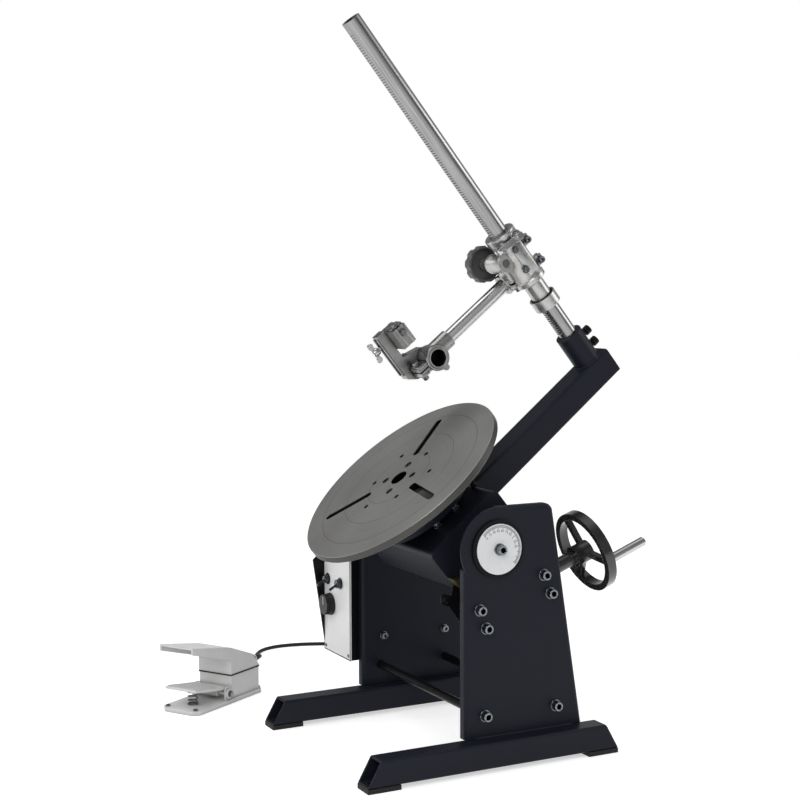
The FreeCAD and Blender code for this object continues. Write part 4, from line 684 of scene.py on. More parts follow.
class POSITIONER_OT_cord(bpy.types.Operator):
    """Lays the foot switch lead over the floor, into its coil and up to the control box"""

    bl_idname = "positioner.cord"
    bl_label = "Foot switch lead"

    # Points of the lead in metres, from the foot switch to the coil.
    LEAD = (
        (-0.3576, -0.1310, 0.0500),
        (-0.3629, -0.1225, 0.0500),
        (-0.3760, -0.1130, 0.0475),
        (-0.3970, -0.1050, 0.0420),
        (-0.4260, -0.0940, 0.0340),
        (-0.4600, -0.0840, 0.0250),
        (-0.4960, -0.0720, 0.0150),
        (-0.5310, -0.0600, 0.0070),
        (-0.5600, -0.0460, 0.0032),
        (-0.5820, -0.0290, 0.0030),
        (-0.5940, -0.0050, 0.0030),
        (-0.5960, 0.0200, 0.0030),
        (-0.5900, 0.0520, 0.0030),
        (-0.5760, 0.0860, 0.0030),
        (-0.5570, 0.1220, 0.0030),
        (-0.5340, 0.1600, 0.0030),
        (-0.5080, 0.1960, 0.0030),
        (-0.4650, 0.2220, 0.0030),
        (-0.4110, 0.2380, 0.0030),
        (-0.3660, 0.2290, 0.0030),
        (-0.3180, 0.2140, 0.0030),
        (-0.2900, 0.2095, 0.0030),
    )
    # From the coil to the control box.
    RISE = (
        (-0.2260, 0.1420, 0.0060),
        (-0.2260, 0.1120, 0.0032),
        (-0.2260, 0.0840, 0.0090),
        (-0.2260, 0.0600, 0.0240),
        (-0.2260, 0.0445, 0.0440),
        (-0.2260, 0.0392, 0.0680),
    )
    COIL = (-0.262, 0.170)
    # Turns wound so far, radius and height of the lead in the coil, in millimetres.
    WINDING = (
        (0.0, 39, 3),
        (0.8, 39, 3),
        (1.0, 33, 3),
        (1.55, 33, 3),
        (1.75, 33, 9),
        (2.45, 33, 9),
        (2.65, 39, 9),
        (3.4, 39, 9),
        (3.6, 36, 14.2),
        (4.1, 36, 14.2),
        (4.25, 36, 11),
    )
    PER_TURN = 16
    RELIEF = 0.022

    # Strap round the bundled turns, as (distance from the coil's middle, height) in millimetres.
    STRAP = (
        (28.9, 0.5), (43.1, 0.5), (43.6, 2.5), (43.4, 11.5), (40.0, 16.2), (36, 18.3), (31.5, 15.8),
        (28.6, 11.5), (28.4, 2.5),
    )
    STRAP_WIDTH = 4.4
    STRAP_WALL = 0.8
    STRAP_TURN = 205

    def execute(self, context):
        lead = context.scene.positioner_cord
        points = list(self.LEAD) + self.coil() + list(self.RISE)
        cord = wire("pedal_lead", points, lead.diameter / 2)
        cord.data.materials.append(bpy.data.materials["Black rubber"])
        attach(cord, "stand")
        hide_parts("pedal_cord", "pedal_cord_coil")
        path = self.path(points)
        sleeves = [self.sleeve("pedal_lead_relief", path), self.sleeve("box_lead_relief", path[::-1])]
        self.tie()
        return {"FINISHED"}

    def coil(self):
        points = []
        steps = round(self.WINDING[-1][0] * self.PER_TURN)
        grow = 1 / math.cos(math.pi / self.PER_TURN)
        for step in range(steps + 1):
            wound = step / self.PER_TURN
            stretches = zip(self.WINDING, self.WINDING[1:])
            before, after = next(pair for pair in stretches if wound <= pair[1][0])
            share = (wound - before[0]) / (after[0] - before[0])
            radius = (before[1] + share * (after[1] - before[1])) * grow * MM
            height = (before[2] + share * (after[2] - before[2])) * MM
            angle = math.pi / 2 - wound * math.tau
            points.append(
                (self.COIL[0] + radius * math.cos(angle), self.COIL[1] + radius * math.sin(angle), height)
            )
        return points

    def path(self, points):
        """The points of the lead's middle line."""
        line = wire("line", points, 0.0)
        data = bpy.data.meshes.new_from_object(line)
        found = [vert.co.copy() for vert in data.vertices]
        bpy.data.meshes.remove(data)
        bpy.data.objects.remove(line)
        return found

    def sleeve(self, name, path):
        """A tapered relief along the first stretch of the lead."""
        run = 0.0
        stations = [(path[0], 0.0)]
        for start, end in zip(path, path[1:]):
            run += (end - start).length
            if run > self.RELIEF:
                break
            stations.append((end, run))
        piece = wire(name, [point for point, run in stations], MM, kind="POLY", facets=6)
        for control, (point, run) in zip(piece.data.splines[0].points, stations):
            control.radius = 5.2 - 1.9 * run / stations[-1][1]
        piece.data.materials.append(bpy.data.materials["Black rubber"])
        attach(piece, "stand")
        return piece

    def tie(self):
        """A strap round the bundled turns."""
        mesh = new_mesh()
        half = self.STRAP_WIDTH / 2
        push(mesh, [(x, -half, z) for x, z in self.STRAP], (0, self.STRAP_WIDTH, 0))
        caps = [face for face in mesh.faces if len(face.verts) == len(self.STRAP)]
        bmesh.ops.delete(mesh, geom=caps, context="FACES_ONLY")
        bmesh.ops.recalc_face_normals(mesh, faces=mesh.faces)
        bmesh.ops.solidify(mesh, geom=list(mesh.faces), thickness=self.STRAP_WALL * MM)
        turn = Matrix.Rotation(math.radians(self.STRAP_TURN), 4, "Z")
        place(mesh, mesh.verts[:], Matrix.Translation((*self.COIL, 0)) @ turn)
        return finish_piece("lead_tie", mesh, "Black plastic", "stand")


class POSITIONER_OT_finishes(bpy.types.Operator):
    """Makes the finishes and gives each of the frame's parts its own"""

    bl_idname = "positioner.finishes"
    bl_label = "Finishes"

    # The parts that take each finish.
    USES = {
        "Frame paint": (
            "foot_tube_near", "foot_tube_far", "side_cheek_near", "side_cheek_far", "head_channel",
            "head_end_near", "head_end_far", "torch_arm", "column_sleeve", "spindle_housing",
        ),
        "Black rubber": (
            "foot_pads_near", "foot_pads_far", "pedal_gasket", "pedal_cord", "pedal_cord_coil",
            "box_cord_gland",
        ),
        "Black steel": (
            "tie_rod_front", "tie_rod_rear", "sleeve_screws", "trunnion_bush_near", "trunnion_bush_far",
            "worm_block_front", "worm_block_rear", "gearbox", "drive_motor", "control_box_guard",
        ),
        "Black box paint": ("control_box_body",),
        "Black enamel": ("handwheel",),
        "Faceplate steel": ("table_plate",),
        "Spindle steel": ("spindle_hub",),
        "Shaft steel": ("worm_shaft", "trunnion_near", "trunnion_far"),
        "Column plating": ("column",),
        "Cross arm plating": ("cross_arm",),
        "Bright steel": ("arm_pinion", "clamp_lever", "wing_screw", "handwheel_grip"),
        "Cast aluminium": ("clamp_body", "stop_collar"),
        "Torch aluminium": ("torch_ring", "torch_block", "torch_jaw"),
        "Black plastic": ("speed_knob", "mains_inlet"),
        "Grey knob": ("clamp_knob",),
        "Dark toggle steel": ("toggle_left", "toggle_right"),
        "Dial face": ("dial_plate",),
        "Bronze": ("worm_sector",),
        "Panel paint": ("control_panel",),
        "Zinc": ("pedal_spring",),
        "Foot switch paint": ("pedal_base", "pedal_case", "pedal_cover", "pedal_tread", "pedal_cord_gland"),
    }

    def execute(self, context):
        finish = context.scene.positioner_finish
        skin_group()
        turning_group()
        drawn_group()
        self.paints(finish)
        self.plastics()
        self.worked_metals(finish)
        self.cast_metals()
        for name, nodes in self.USES.items():
            for node in nodes:
                for slot in NODES[node].material_slots:
                    slot.material = bpy.data.materials[name]
        return {"FINISHED"}

    def paints(self, finish):
        # The lighter edge colour of the frame paint is partly worn paint and partly a painted highlight along
        # the bends.
        skinned(
            "Frame paint", finish.paint, 0.42, specular=0.14, mottle_scale=14.0, gloss_spread=0.05,
            grain_scale=650.0, grain_height=0.00004, edge_colour=(0.07, 0.073, 0.085), edge_wear=0.6,
            edge_width=0.0012,
        )
        skinned(
            "Black box paint", (0.0035, 0.0035, 0.004), 0.5, specular=0.12, mottle=0.15, grain_scale=1100.0,
            grain_height=0.00006, edge_colour=grey(0.04), edge_wear=0.4,
        )
        skinned(
            "Black enamel", grey(0.012), 0.2, coat=0.6, mottle=0.12, mottle_scale=20.0, gloss_spread=0.04,
            grain_scale=350.0, edge_colour=grey(0.03), edge_wear=0.3, edge_width=0.0015,
        )
        skinned(
            "Panel paint", finish.panel, 0.35, mottle=0.02, mottle_scale=20.0, grain_scale=900.0,
            grain_height=0.00001, edge_wear=0.7, edge_width=0.0006,
        )
        skinned(
            "Foot switch paint", finish.pedal, 0.4, grime=0.6, grime_reach=0.006, mottle=0.08,
            mottle_scale=45.0, gloss_spread=0.08, grain_scale=420.0, grain_height=0.00008,
            edge_colour=(0.75, 0.75, 0.74), edge_wear=0.5, edge_width=0.001,
        )
        skinned(
            "Dial face", (0.79, 0.8, 0.82), 0.42, mottle=0.06, mottle_scale=90.0, grain_scale=900.0,
            grain_height=0.00001, edge_colour=grey(0.75), edge_wear=0.4, edge_width=0.0004,
        )
        skinned(
            "Dial print", (0.035, 0.022, 0.026), 0.6, mottle=0.3, mottle_scale=300.0, grain_scale=900.0,
            grain_height=0.00001, edge_colour=(0.07, 0.05, 0.055), edge_wear=0.0,
        )

    def plastics(self):
        skinned(
            "Black rubber", grey(0.014), 0.62, specular=0.25, mottle=0.15, mottle_scale=40.0,
            grain_scale=900.0, edge_colour=grey(0.03), edge_wear=0.3,
        )
        skinned(
            "Black plastic", grey(0.008), 0.42, specular=0.3, mottle=0.12, mottle_scale=40.0,
            grain_scale=1200.0, edge_colour=grey(0.05), edge_wear=0.3,
        )
        skinned(
            "Grey knob", (0.085, 0.086, 0.088), 0.4, mottle=0.2, mottle_scale=60.0, grain_scale=900.0,
            grain_height=0.00006, edge_colour=grey(0.3), edge_wear=0.5, edge_width=0.001,
        )

    def worked_metals(self, finish):
        low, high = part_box("table_plate")
        # Painted shade on the faceplate: the slot walls near black and the outer rim darker.
        turned_steel(
            "Faceplate steel", TABLE, finish.plate_dark, finish.plate_light, 0.46, scribed=(51, 90, 128),
            slot_shade=(9.0, 126), rim=(high.x - low.x) / 2 / MM - 0.4,
        )
        turned_steel("Spindle steel", TABLE, grey(0.1), (0.17, 0.17, 0.165), 0.4)
        turned_steel("Shaft steel", WORM, grey(0.3), (0.5, 0.5, 0.49), 0.35)
        # Painted shade: the column's plating is held darker than the cross arm's, for the darker reflections
        # the column shows.
        plated_bar("Column plating", HEAD, grey(0.22), grey(0.4), 0.22)
        arm = HEAD @ Matrix.Rotation(math.pi / 2, 4, "X")
        plated_bar("Cross arm plating", arm, grey(0.4), grey(0.62), 0.24)
        skinned(
            "Black steel", (0.0055, 0.0058, 0.0068), 0.4, specular=0.12, mottle=0.2, mottle_scale=60.0,
            grain_scale=900.0, grain_height=0.00002, edge_colour=grey(0.08), edge_wear=0.5,
            edge_width=0.0006,
        )
        skinned(
            "Bright steel", grey(0.55), 0.2, metallic=1.0, grime=0.7, mottle=0.12, mottle_scale=70.0,
            gloss_spread=0.08, grain_scale=800.0, grain_height=0.00001, edge_colour=grey(0.75),
            edge_wear=0.5, edge_width=0.0005,
        )
        skinned(
            "Dark toggle steel", (0.05, 0.055, 0.065), 0.25, metallic=1.0, mottle=0.2, mottle_scale=200.0,
            grain_scale=900.0, grain_height=0.00001, edge_colour=(0.3, 0.32, 0.36), edge_wear=0.7,
            edge_width=0.0005,
        )
        skinned(
            "Zinc", (0.2, 0.218, 0.232), 0.25, metallic=1.0, grime=0.9, grime_reach=0.003, mottle=0.25,
            mottle_scale=250.0, gloss_spread=0.12, grain_scale=900.0, edge_colour=(0.7, 0.72, 0.74),
            edge_wear=0.6, edge_width=0.0004,
        )

    def cast_metals(self):
        for name, shade in (("Cast aluminium", 0.44), ("Torch aluminium", 0.3)):
            skinned(
                name, (shade, shade * 0.99, shade * 0.98), 0.3, metallic=1.0, grime=0.95, grime_reach=0.006,
                mottle=0.35, mottle_scale=90.0, gloss_spread=0.12, grain_scale=600.0, grain_height=0.00014,
                edge_colour=grey(shade * 1.5), edge_wear=0.9, edge_width=0.0012,
            )
        skinned(
            "Bronze", (0.09, 0.075, 0.03), 0.45, metallic=0.8, mottle=0.3, mottle_scale=60.0,
            grain_scale=500.0, grain_height=0.00005, edge_colour=(0.3, 0.25, 0.12), edge_wear=0.7,
        )


class POSITIONER_OT_stand_screws(bpy.types.Operator):
    """Adds the screws of the tie rods, the worm bearings and the control box"""

    bl_idname = "positioner.stand_screws"
    bl_label = "Stand screws"

    # Places as (y, z) in millimetres.
    RODS = ((-5.5, 69.3), (103.3, 69.3))
    WORM_BLOCKS = ((-13.7, 209.8), (-4.2, 185.0), (84.1, 247.6), (94.5, 222.2))
    BOX = ((-0.8, 112.7), (101.7, 112.7))

    # Plate that steadies the front worm bearing: outline and bolt as (y, z), and its two faces.
    BRACKET = (
        (-46, 213), (-46, 224), (-41, 226), (-31, 222), (-27, 239), (-11, 239), (-11, 187), (-20, 189),
        (-34, 208),
    )
    BRACKET_BOLT = (-39.5, 218.6)
    BRACKET_FACES = (98.6, 100.3)

    CAP = 3.5
    WEB = 3

    def execute(self, context):
        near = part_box("trunnion_bush_near")[1].x / MM - self.CAP
        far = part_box("tie_rod_front")[0].x / MM
        mesh = new_mesh()
        for y, z in self.RODS + self.WORM_BLOCKS:
            cap_screw(mesh, seated(near, y, z, NEARWARD) @ Matrix.Rotation(0.3 * y, 4, "Z"))
        finish_piece("near_cheek_screws", mesh, "Zinc", "stand")
        mesh = new_mesh()
        for y, z in self.RODS:
            cap_screw(mesh, seated(far - self.WEB, y, z, FARWARD))
        finish_piece("far_cheek_screws", mesh, "Zinc", "stand")
        mesh = new_mesh()
        for y, z in self.BOX:
            cap_screw(mesh, seated(far, y, z, NEARWARD), radius=5.0, height=5.0, washer=6.2, sink=3.0)
        finish_piece("box_screws", mesh, "Zinc", "stand")
        mesh = new_mesh()
        start, stop = self.BRACKET_FACES
        push(mesh, [(start, y, z) for y, z in self.BRACKET], (stop - start, 0, 0))
        hex_bolt(mesh, seated(stop, *self.BRACKET_BOLT, NEARWARD), radius=4.6, height=3.6, washer=5.8)
        finish_piece("worm_bracket", mesh, "Black steel", "stand")
        return {"FINISHED"}


class POSITIONER_OT_dial(bpy.types.Operator):
    """Adds the tilt scale, its figures and the screw that holds the dial"""

    bl_idname = "positioner.dial"
    bl_label = "Tilt dial"

    # Bearing of the first mark and the step to the next, in degrees; every fifth mark is long.
    FIRST = 140.0
    STEP = -3.0
    MARKS = 61
    FIFTH = 5
    LAST_FIGURE = 49

    # Sizes in millimetres.
    SCALE_RADIUS = 32.0
    LONG = 5.2
    SHORT = 3.6
    MARK_WIDTH = 0.72
    FIGURE_RADIUS = 24.3

    def execute(self, context):
        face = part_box("dial_plate")[1].x / MM
        centre = seated(face, TILT.y / MM, TILT.z / MM, NEARWARD)
        mesh = new_mesh()
        for index in range(self.MARKS):
            tall = self.SHORT if index % self.FIFTH else self.LONG
            spot = self.turned(centre, index) @ shift(self.SCALE_RADIUS - tall / 2, 0, 0.02)
            block(mesh, (tall, self.MARK_WIDTH, 0.1), spot)
        finish_piece("dial_marks", mesh, "Dial print", "head")
        mesh = new_mesh()
        for index in range(0, self.LAST_FIGURE, self.FIFTH):
            spot = self.turned(centre, index) @ shift(self.FIGURE_RADIUS, 0, 0)
            self.figure(mesh, str(index * 3 % 100), spot @ Matrix.Rotation(-math.pi / 2, 4, "Z"))
        finish_piece("dial_figures", mesh, "Dial print", "head")
        mesh = new_mesh()
        cap_screw(mesh, centre @ Matrix.Rotation(0.4, 4, "Z"))
        finish_piece("dial_screw", mesh, "Zinc", "head")
        return {"FINISHED"}

    def turned(self, centre, index):
        """The dial's frame turned to a mark."""
        return centre @ Matrix.Rotation(math.radians(self.FIRST + self.STEP * index), 4, "Z")

    def figure(self, mesh, text, spot):
        data = bpy.data.curves.new("figure", "FONT")
        data.body = text
        data.size = 4.8 * MM
        data.extrude = 0.06 * MM
        data.align_x = "CENTER"
        data.align_y = "CENTER"
        data.resolution_u = 2
        item = bpy.data.objects.new("figure", data)
        bpy.context.scene.collection.objects.link(item)
        bpy.context.view_layer.update()
        flat = bpy.data.meshes.new_from_object(item)
        flat.transform(spot)
        mesh.from_mesh(flat)
        bpy.data.meshes.remove(flat)
        bpy.data.objects.remove(item)
        bpy.data.curves.remove(data)


class POSITIONER_OT_head_screws(bpy.types.Operator):
    """Adds the screws of the faceplate and the gearbox"""

    bl_idname = "positioner.head_screws"
    bl_label = "Head screws"

    # Millimetres: circle and seat of the faceplate screws, and (x, v) places on the head's bottom.
    CIRCLE = 27
    SEAT = 4.1
    HEAD_BOTTOM = 40
    GEARBOX = ((-70, -17), (-70, 17), (54, -17), (54, 17))
    REAR = ((-63, 61), (47, 61))

    def execute(self, context):
        mesh = new_mesh()
        for index in range(4):
            angle = math.radians(21 + 90 * index)
            x, y = self.CIRCLE * math.cos(angle), self.CIRCLE * math.sin(angle)
            spot = TABLE @ shift(x, y, self.SEAT) @ Matrix.Rotation(index, 4, "Z")
            cap_screw(mesh, spot, radius=4.8, height=4.6, washer=0, sink=2.6)
        finish_piece("faceplate_screws", mesh, "Zinc", "faceplate")
        mesh = new_mesh()
        for x, v in self.GEARBOX:
            spot = seated(x, v, self.HEAD_BOTTOM, within=HEAD)
            cap_screw(mesh, spot, radius=5.0, height=5.0, washer=6.2, sink=2.8)
        finish_piece("gearbox_screws", mesh, "Zinc", "head")
        mesh = new_mesh()
        for x, v in self.REAR:
            spot = seated(x, v, self.HEAD_BOTTOM, within=HEAD)
            cap_screw(mesh, spot, radius=4.6, height=5, washer=5.8, sink=2.6)
        finish_piece("head_rear_screws", mesh, "Black steel", "head")
        return {"FINISHED"}


class POSITIONER_OT_clamp(bpy.types.Operator):
    """Adds the cast cross clamp with its lugs, nuts and screws"""

    bl_idname = "positioner.clamp"
    bl_label = "Cross clamp"

    # Places in the head's frame: column (x, v), cross arm (x, n), pinion, lever and lug screws (v, n).
    COLUMN = (-8, 334.2)
    CROSS = (-38, 190)
    PINION = (309.6, 228)
    LEVER = (343, 250)
    STUD = (308.5, 250, 18.5)
    LUG_V = 361
    LUGS = (194, 230)

    # Sleeves of the casting, each an outline of (radius, height).
    COLUMN_SLEEVE = closed(
        (13.6, 150.3), (15.2, 150.3), (15.2, 177), (17.5, 178), (22.4, 178), (23.2, 179), (23.2, 185),
        (21.4, 187.5), (20.9, 216), (21.4, 251), (23.2, 254), (23.2, 261.8), (22.2, 263), (13.6, 263),
    )
    CROSS_SLEEVE = closed(
        (10.15, 307), (14.8, 307), (16.4, 308.6), (16.4, 316), (15.4, 318), (15.4, 350), (16.4, 352),
        (16.4, 358.6), (15, 360), (10.15, 360),
    )
    PINION_SLEEVE = closed(
        (6.15, -30), (12.6, -30), (13.9, -28.6), (13.9, -20), (13, -18), (13, 4), (13.9, 5), (13.9, 6.8),
        (12.8, 8), (6.15, 8),
    )
    LEVER_SLEEVE = closed((4.1, 5), (8.4, 5), (9.2, 6), (9.2, 14.8), (8.2, 15.8), (4.1, 15.8))
    KNOB_SLEEVE = closed((5.1, -55), (8, -55), (8.8, -54), (8.8, -34), (5.1, -34))
    LUG = ((0, -2.7), (6.4, -2.7), (7, -2), (7, 2), (6.4, 2.7), (0, 2.7))

    # Blocks of the casting: size, place and edge radius.
    BLOCKS = (
        ((25, 26, 34), (-23.5, 321, 208), 3.5),
        ((18, 40, 20), (-25, 336, 200), 4),
        ((9, 20, 62), (9.5, 336, 222), 3),
        ((15, 15, 7), (-19.5, 315.5, 199.6), 2),
        ((15, 15, 7), (-19.5, 315.5, 185.8), 2),
    )

    # Bolts: place, direction, head radius, head height and washer radius.
    BOLTS = (
        ((-17.5, 314.5, 203.2), (0, 0, 1), 5, 4, 0),
        ((10, 345, 251.8), (0, 0, 1), 5.4, 4.6, 6.2),
        ((-22, 349, 262.6), (0, 0, 1), 4.6, 4, 5.4),
        ((14.2, 326, 204), NEARWARD, 4.6, 3.6, 5.6),
        ((14.2, 330, 236), NEARWARD, 4.2, 3.4, 5.2),
    )

    def execute(self, context):
        self.casting()
        mesh = new_mesh()
        for n in self.LUGS:
            near_end = seated(-1.6, self.LUG_V, n, NEARWARD, HEAD)
            cap_screw(mesh, near_end, radius=4.8, height=5.6, washer=6, sink=2.8)
            hex_bolt(mesh, seated(-14.4, self.LUG_V, n, FARWARD, HEAD), radius=5.6, height=4.6)
        cap_screw(mesh, seated(-17.5, 314.5, 182.2, DOWN, HEAD), radius=4.4, height=5, washer=5.6, sink=2.4)
        for spot, normal, *head in self.BOLTS:
            hex_bolt(mesh, seated(*spot, normal, HEAD), *head)
        finish_piece("clamp_screws", mesh, "Zinc", "clamp")
        mesh = new_mesh()
        hex_bolt(mesh, seated(21, *self.LEVER, NEARWARD, HEAD), radius=6, height=5, washer=6.4)
        stud = across(*self.STUD)
        lathe(mesh, [(0, -5), (3.6, -5), (3.9, -4.6), (3.9, 9), (3.2, 9.8), (0, 9.8)], stud, 28)
        lathe(mesh, [(0, -9), (5.2, -9), (5.6, -8.5), (5.6, -4.8), (0, -4.8)], stud, 28)
        finish_piece("lever_nut", mesh, "Bright steel", "lever")
        return {"FINISHED"}

    def casting(self):
        mesh = new_mesh()
        lathe(mesh, self.COLUMN_SLEEVE, HEAD @ shift(*self.COLUMN, 0), 56)
        along = HEAD @ shift(self.CROSS[0], 0, self.CROSS[1]) @ Matrix.Rotation(-math.pi / 2, 4, "X")
        lathe(mesh, self.CROSS_SLEEVE, along)
        lathe(mesh, self.PINION_SLEEVE, across(*self.PINION))
        lathe(mesh, self.LEVER_SLEEVE, across(*self.LEVER))
        lathe(mesh, self.KNOB_SLEEVE, across(348, 174.7))
        for size, spot, edge in self.BLOCKS:
            block(mesh, size, HEAD @ shift(*spot), edge)
        for n in self.LUGS:
            for side in (-11.6, -4.4):
                block(mesh, (5.2, 22, 15.6), HEAD @ shift(side, 357, n), 2.2)
                lathe(mesh, self.LUG, across(self.LUG_V, n, side), 28)
        casting = finish_piece("clamp_casting", mesh, "Cast aluminium", "clamp")
        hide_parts("clamp_body")


class POSITIONER_OT_torch_holder(bpy.types.Operator):
    """Adds the liner, lug screws, slide rails and wing of the torch holder"""

    bl_idname = "positioner.torch_holder"
    bl_label = "Torch holder"

    # Middle of the clamp ring as (v, n) in the head's frame.
    RING = (156, 185)
    LINER = closed(
        (14.5, -22.4), (16, -22.4), (16.6, -21.8), (17.7, -22), (18.4, -23), (18.4, -26.4), (17.6, -27.2),
        (14.5, -27.2),
    )
    ARM_STOP = ((0, -49), (4.2, -49), (4.6, -48.4), (4.6, -24), (4, -23.2), (0, -23.2))
    # Near-black cup set in the clamp ring's bore: painted shade inside the bore
    CUP = closed((0, -46), (12.15, -46), (12.15, -26), (11.8, -26), (11.8, -45.4), (0, -45.4))
    PIN = ((0, -0.4), (1.9, -0.4), (2, 0.06), (0, 0.06))
    COLLAR = closed((3.1, 1), (5.6, 1), (5.9, 2), (5.9, 8), (5.4, 9), (3.1, 9))
    EAR = ((0, -1.6), (4, -1.6), (4.6, -0.8), (4.6, 0.8), (4, 1.6), (0, 1.6))

    # Blocks: size, place in the head's frame and edge radius.
    RAILS = (
        ((3.4, 3, 66), (-63.5, 110.6, 222), 0.8),
        ((3.4, 3, 66), (-53, 110.6, 222), 0.8),
        ((15.4, 15, 5), (-58.3, 118.5, 256), 1.2),
        ((15.2, 9, 9), (-58.3, 130, 207), 2),
    )
    PLATES = (
        ((41, 4, 31), (-46.3, 133, 241), 1.2),
        ((41.4, 5, 31.4), (-46.3, 143.6, 241), 1.4),
        ((16, 20, 3), (-42, 138, 256.6), 1),
    )
    WING = (-58, 98, 241)

    def execute(self, context):
        v, n = self.RING
        lug_v = v - 27
        mesh = new_mesh()
        lathe(mesh, self.LINER, across(v, n), 56)
        lathe(mesh, self.ARM_STOP, across(v + 3, n - 19.6), 28)
        for height in (6.6, -6.6):
            block(mesh, (26, 12, 5), HEAD @ shift(-36, lug_v, n + height), 1.6)
        finish_piece("ring_collars", mesh, "Torch aluminium", "reach_arm")
        mesh = new_mesh()
        hex_bolt(mesh, seated(-36, lug_v, n + 9, (0, 0, 1), HEAD), radius=5.2, height=4.4, washer=6)
        cap_screw(mesh, seated(-36, lug_v, n - 9, DOWN, HEAD), radius=4.4, height=6, washer=5.6, sink=2.4)
        finish_piece("ring_screws", mesh, "Zinc", "reach_arm")
        # Painted shade: a thin black disc on the reach arm stands for the dark inside of a pin hole.
        mesh = new_mesh()
        lathe(mesh, self.PIN, seated(-28.3, 187, 192, (1, 0, 0.2), HEAD), 20)
        finish_piece("arm_pin_hole_shade", mesh, "Black steel", "reach_arm")
        # Painted shade: a near-black cup closes the ring's bore, so that it reads dark inside.
        mesh = new_mesh()
        lathe(mesh, self.CUP, across(v, n))
        finish_piece("bore_shade_cup", mesh, "Black box paint", "torch_holder")
        groups = (("slide_rails", self.RAILS, "torch_holder"), ("jaw_plates", self.PLATES, "jaw"))
        for name, blocks, body in groups:
            mesh = new_mesh()
            for size, spot, edge in blocks:
                block(mesh, size, HEAD @ shift(*spot), edge)
            finish_piece(name, mesh, "Torch aluminium", body)
        mesh = new_mesh()
        hex_bolt(mesh, seated(-34, 136, 257.4, (0, 0, 1), HEAD), radius=4, height=3.6, washer=5)
        hex_bolt(mesh, seated(-25.8, 138, 247, NEARWARD, HEAD), radius=4.2, height=3.2, washer=5)
        finish_piece("jaw_screws", mesh, "Zinc", "jaw")
        x, v, n = self.WING
        mesh = new_mesh()
        lathe(mesh, self.COLLAR, seated(x, v - 2.5, n, (0, 1, 0), HEAD), 28)
        for side in (-11.5, 11.5):
            lathe(mesh, self.EAR, seated(x, v, n + side, NEARWARD, HEAD), 24)
        finish_piece("wing_ears", mesh, "Bright steel", "wing")
        return {"FINISHED"}


class POSITIONER_OT_welds(bpy.types.Operator):
    """Adds the weld beads of the arm, the sleeve and the floor tubes"""

    bl_idname = "positioner.welds"
    bl_label = "Welds"

    # Millimetres: ring round the column's sleeve, root of the arm on the head, and runs under the cheeks.
    RING_MIDDLE = (-8, 334.2, 28.4)
    RING_RADIUS = 20.4
    RING_STEPS = 48
    ARM_ROOT = ((-28, 64.4, -12), (-28, 64.4, 28), (12, 64.4, 28), (12, 64.4, -12), (-28, 64.4, -12))
    CHEEKS = (145.4, -165.4)
    CHEEK_RUN = (-20, 130)
    TUBE_TOP = 40.6

    def bead(self, mesh, points, size):
        """A rippled bead along a line of points in millimetres."""
        for start, end in zip(points, points[1:]):
            run = Vector(end) - Vector(start)
            count = max(1, round(run.length / (size * 1.1)))
            for step in range(count):
                spot = Vector(start) + run * ((step + 0.5) / count)
                made = bmesh.ops.create_icosphere(mesh, subdivisions=1, radius=size * MM)["verts"]
                place(mesh, made, Matrix.Translation(spot * MM) @ Matrix.Scale(1.25, 4, run.normalized()))

    def on_head(self, points):
        """Points of the head's frame in the machine's own, in millimetres."""
        return [HEAD @ (Vector(point) * MM) / MM for point in points]

    def execute(self, context):
        mesh = new_mesh()
        x, v, n = self.RING_MIDDLE
        ring = []
        for step in range(self.RING_STEPS + 1):
            angle = math.tau * step / self.RING_STEPS
            ring.append((x + self.RING_RADIUS * math.cos(angle), v + self.RING_RADIUS * math.sin(angle), n))
        self.bead(mesh, self.on_head(ring), 1.5)
        self.bead(mesh, self.on_head(self.ARM_ROOT), 1.8)
        finish_piece("arm_welds", mesh, "Frame paint", "head", smooth=80)
        mesh = new_mesh()
        for x in self.CHEEKS:
            self.bead(mesh, [(x, y, self.TUBE_TOP) for y in self.CHEEK_RUN], 1.5)
        finish_piece("cheek_welds", mesh, "Frame paint", "stand", smooth=80)
        return {"FINISHED"}


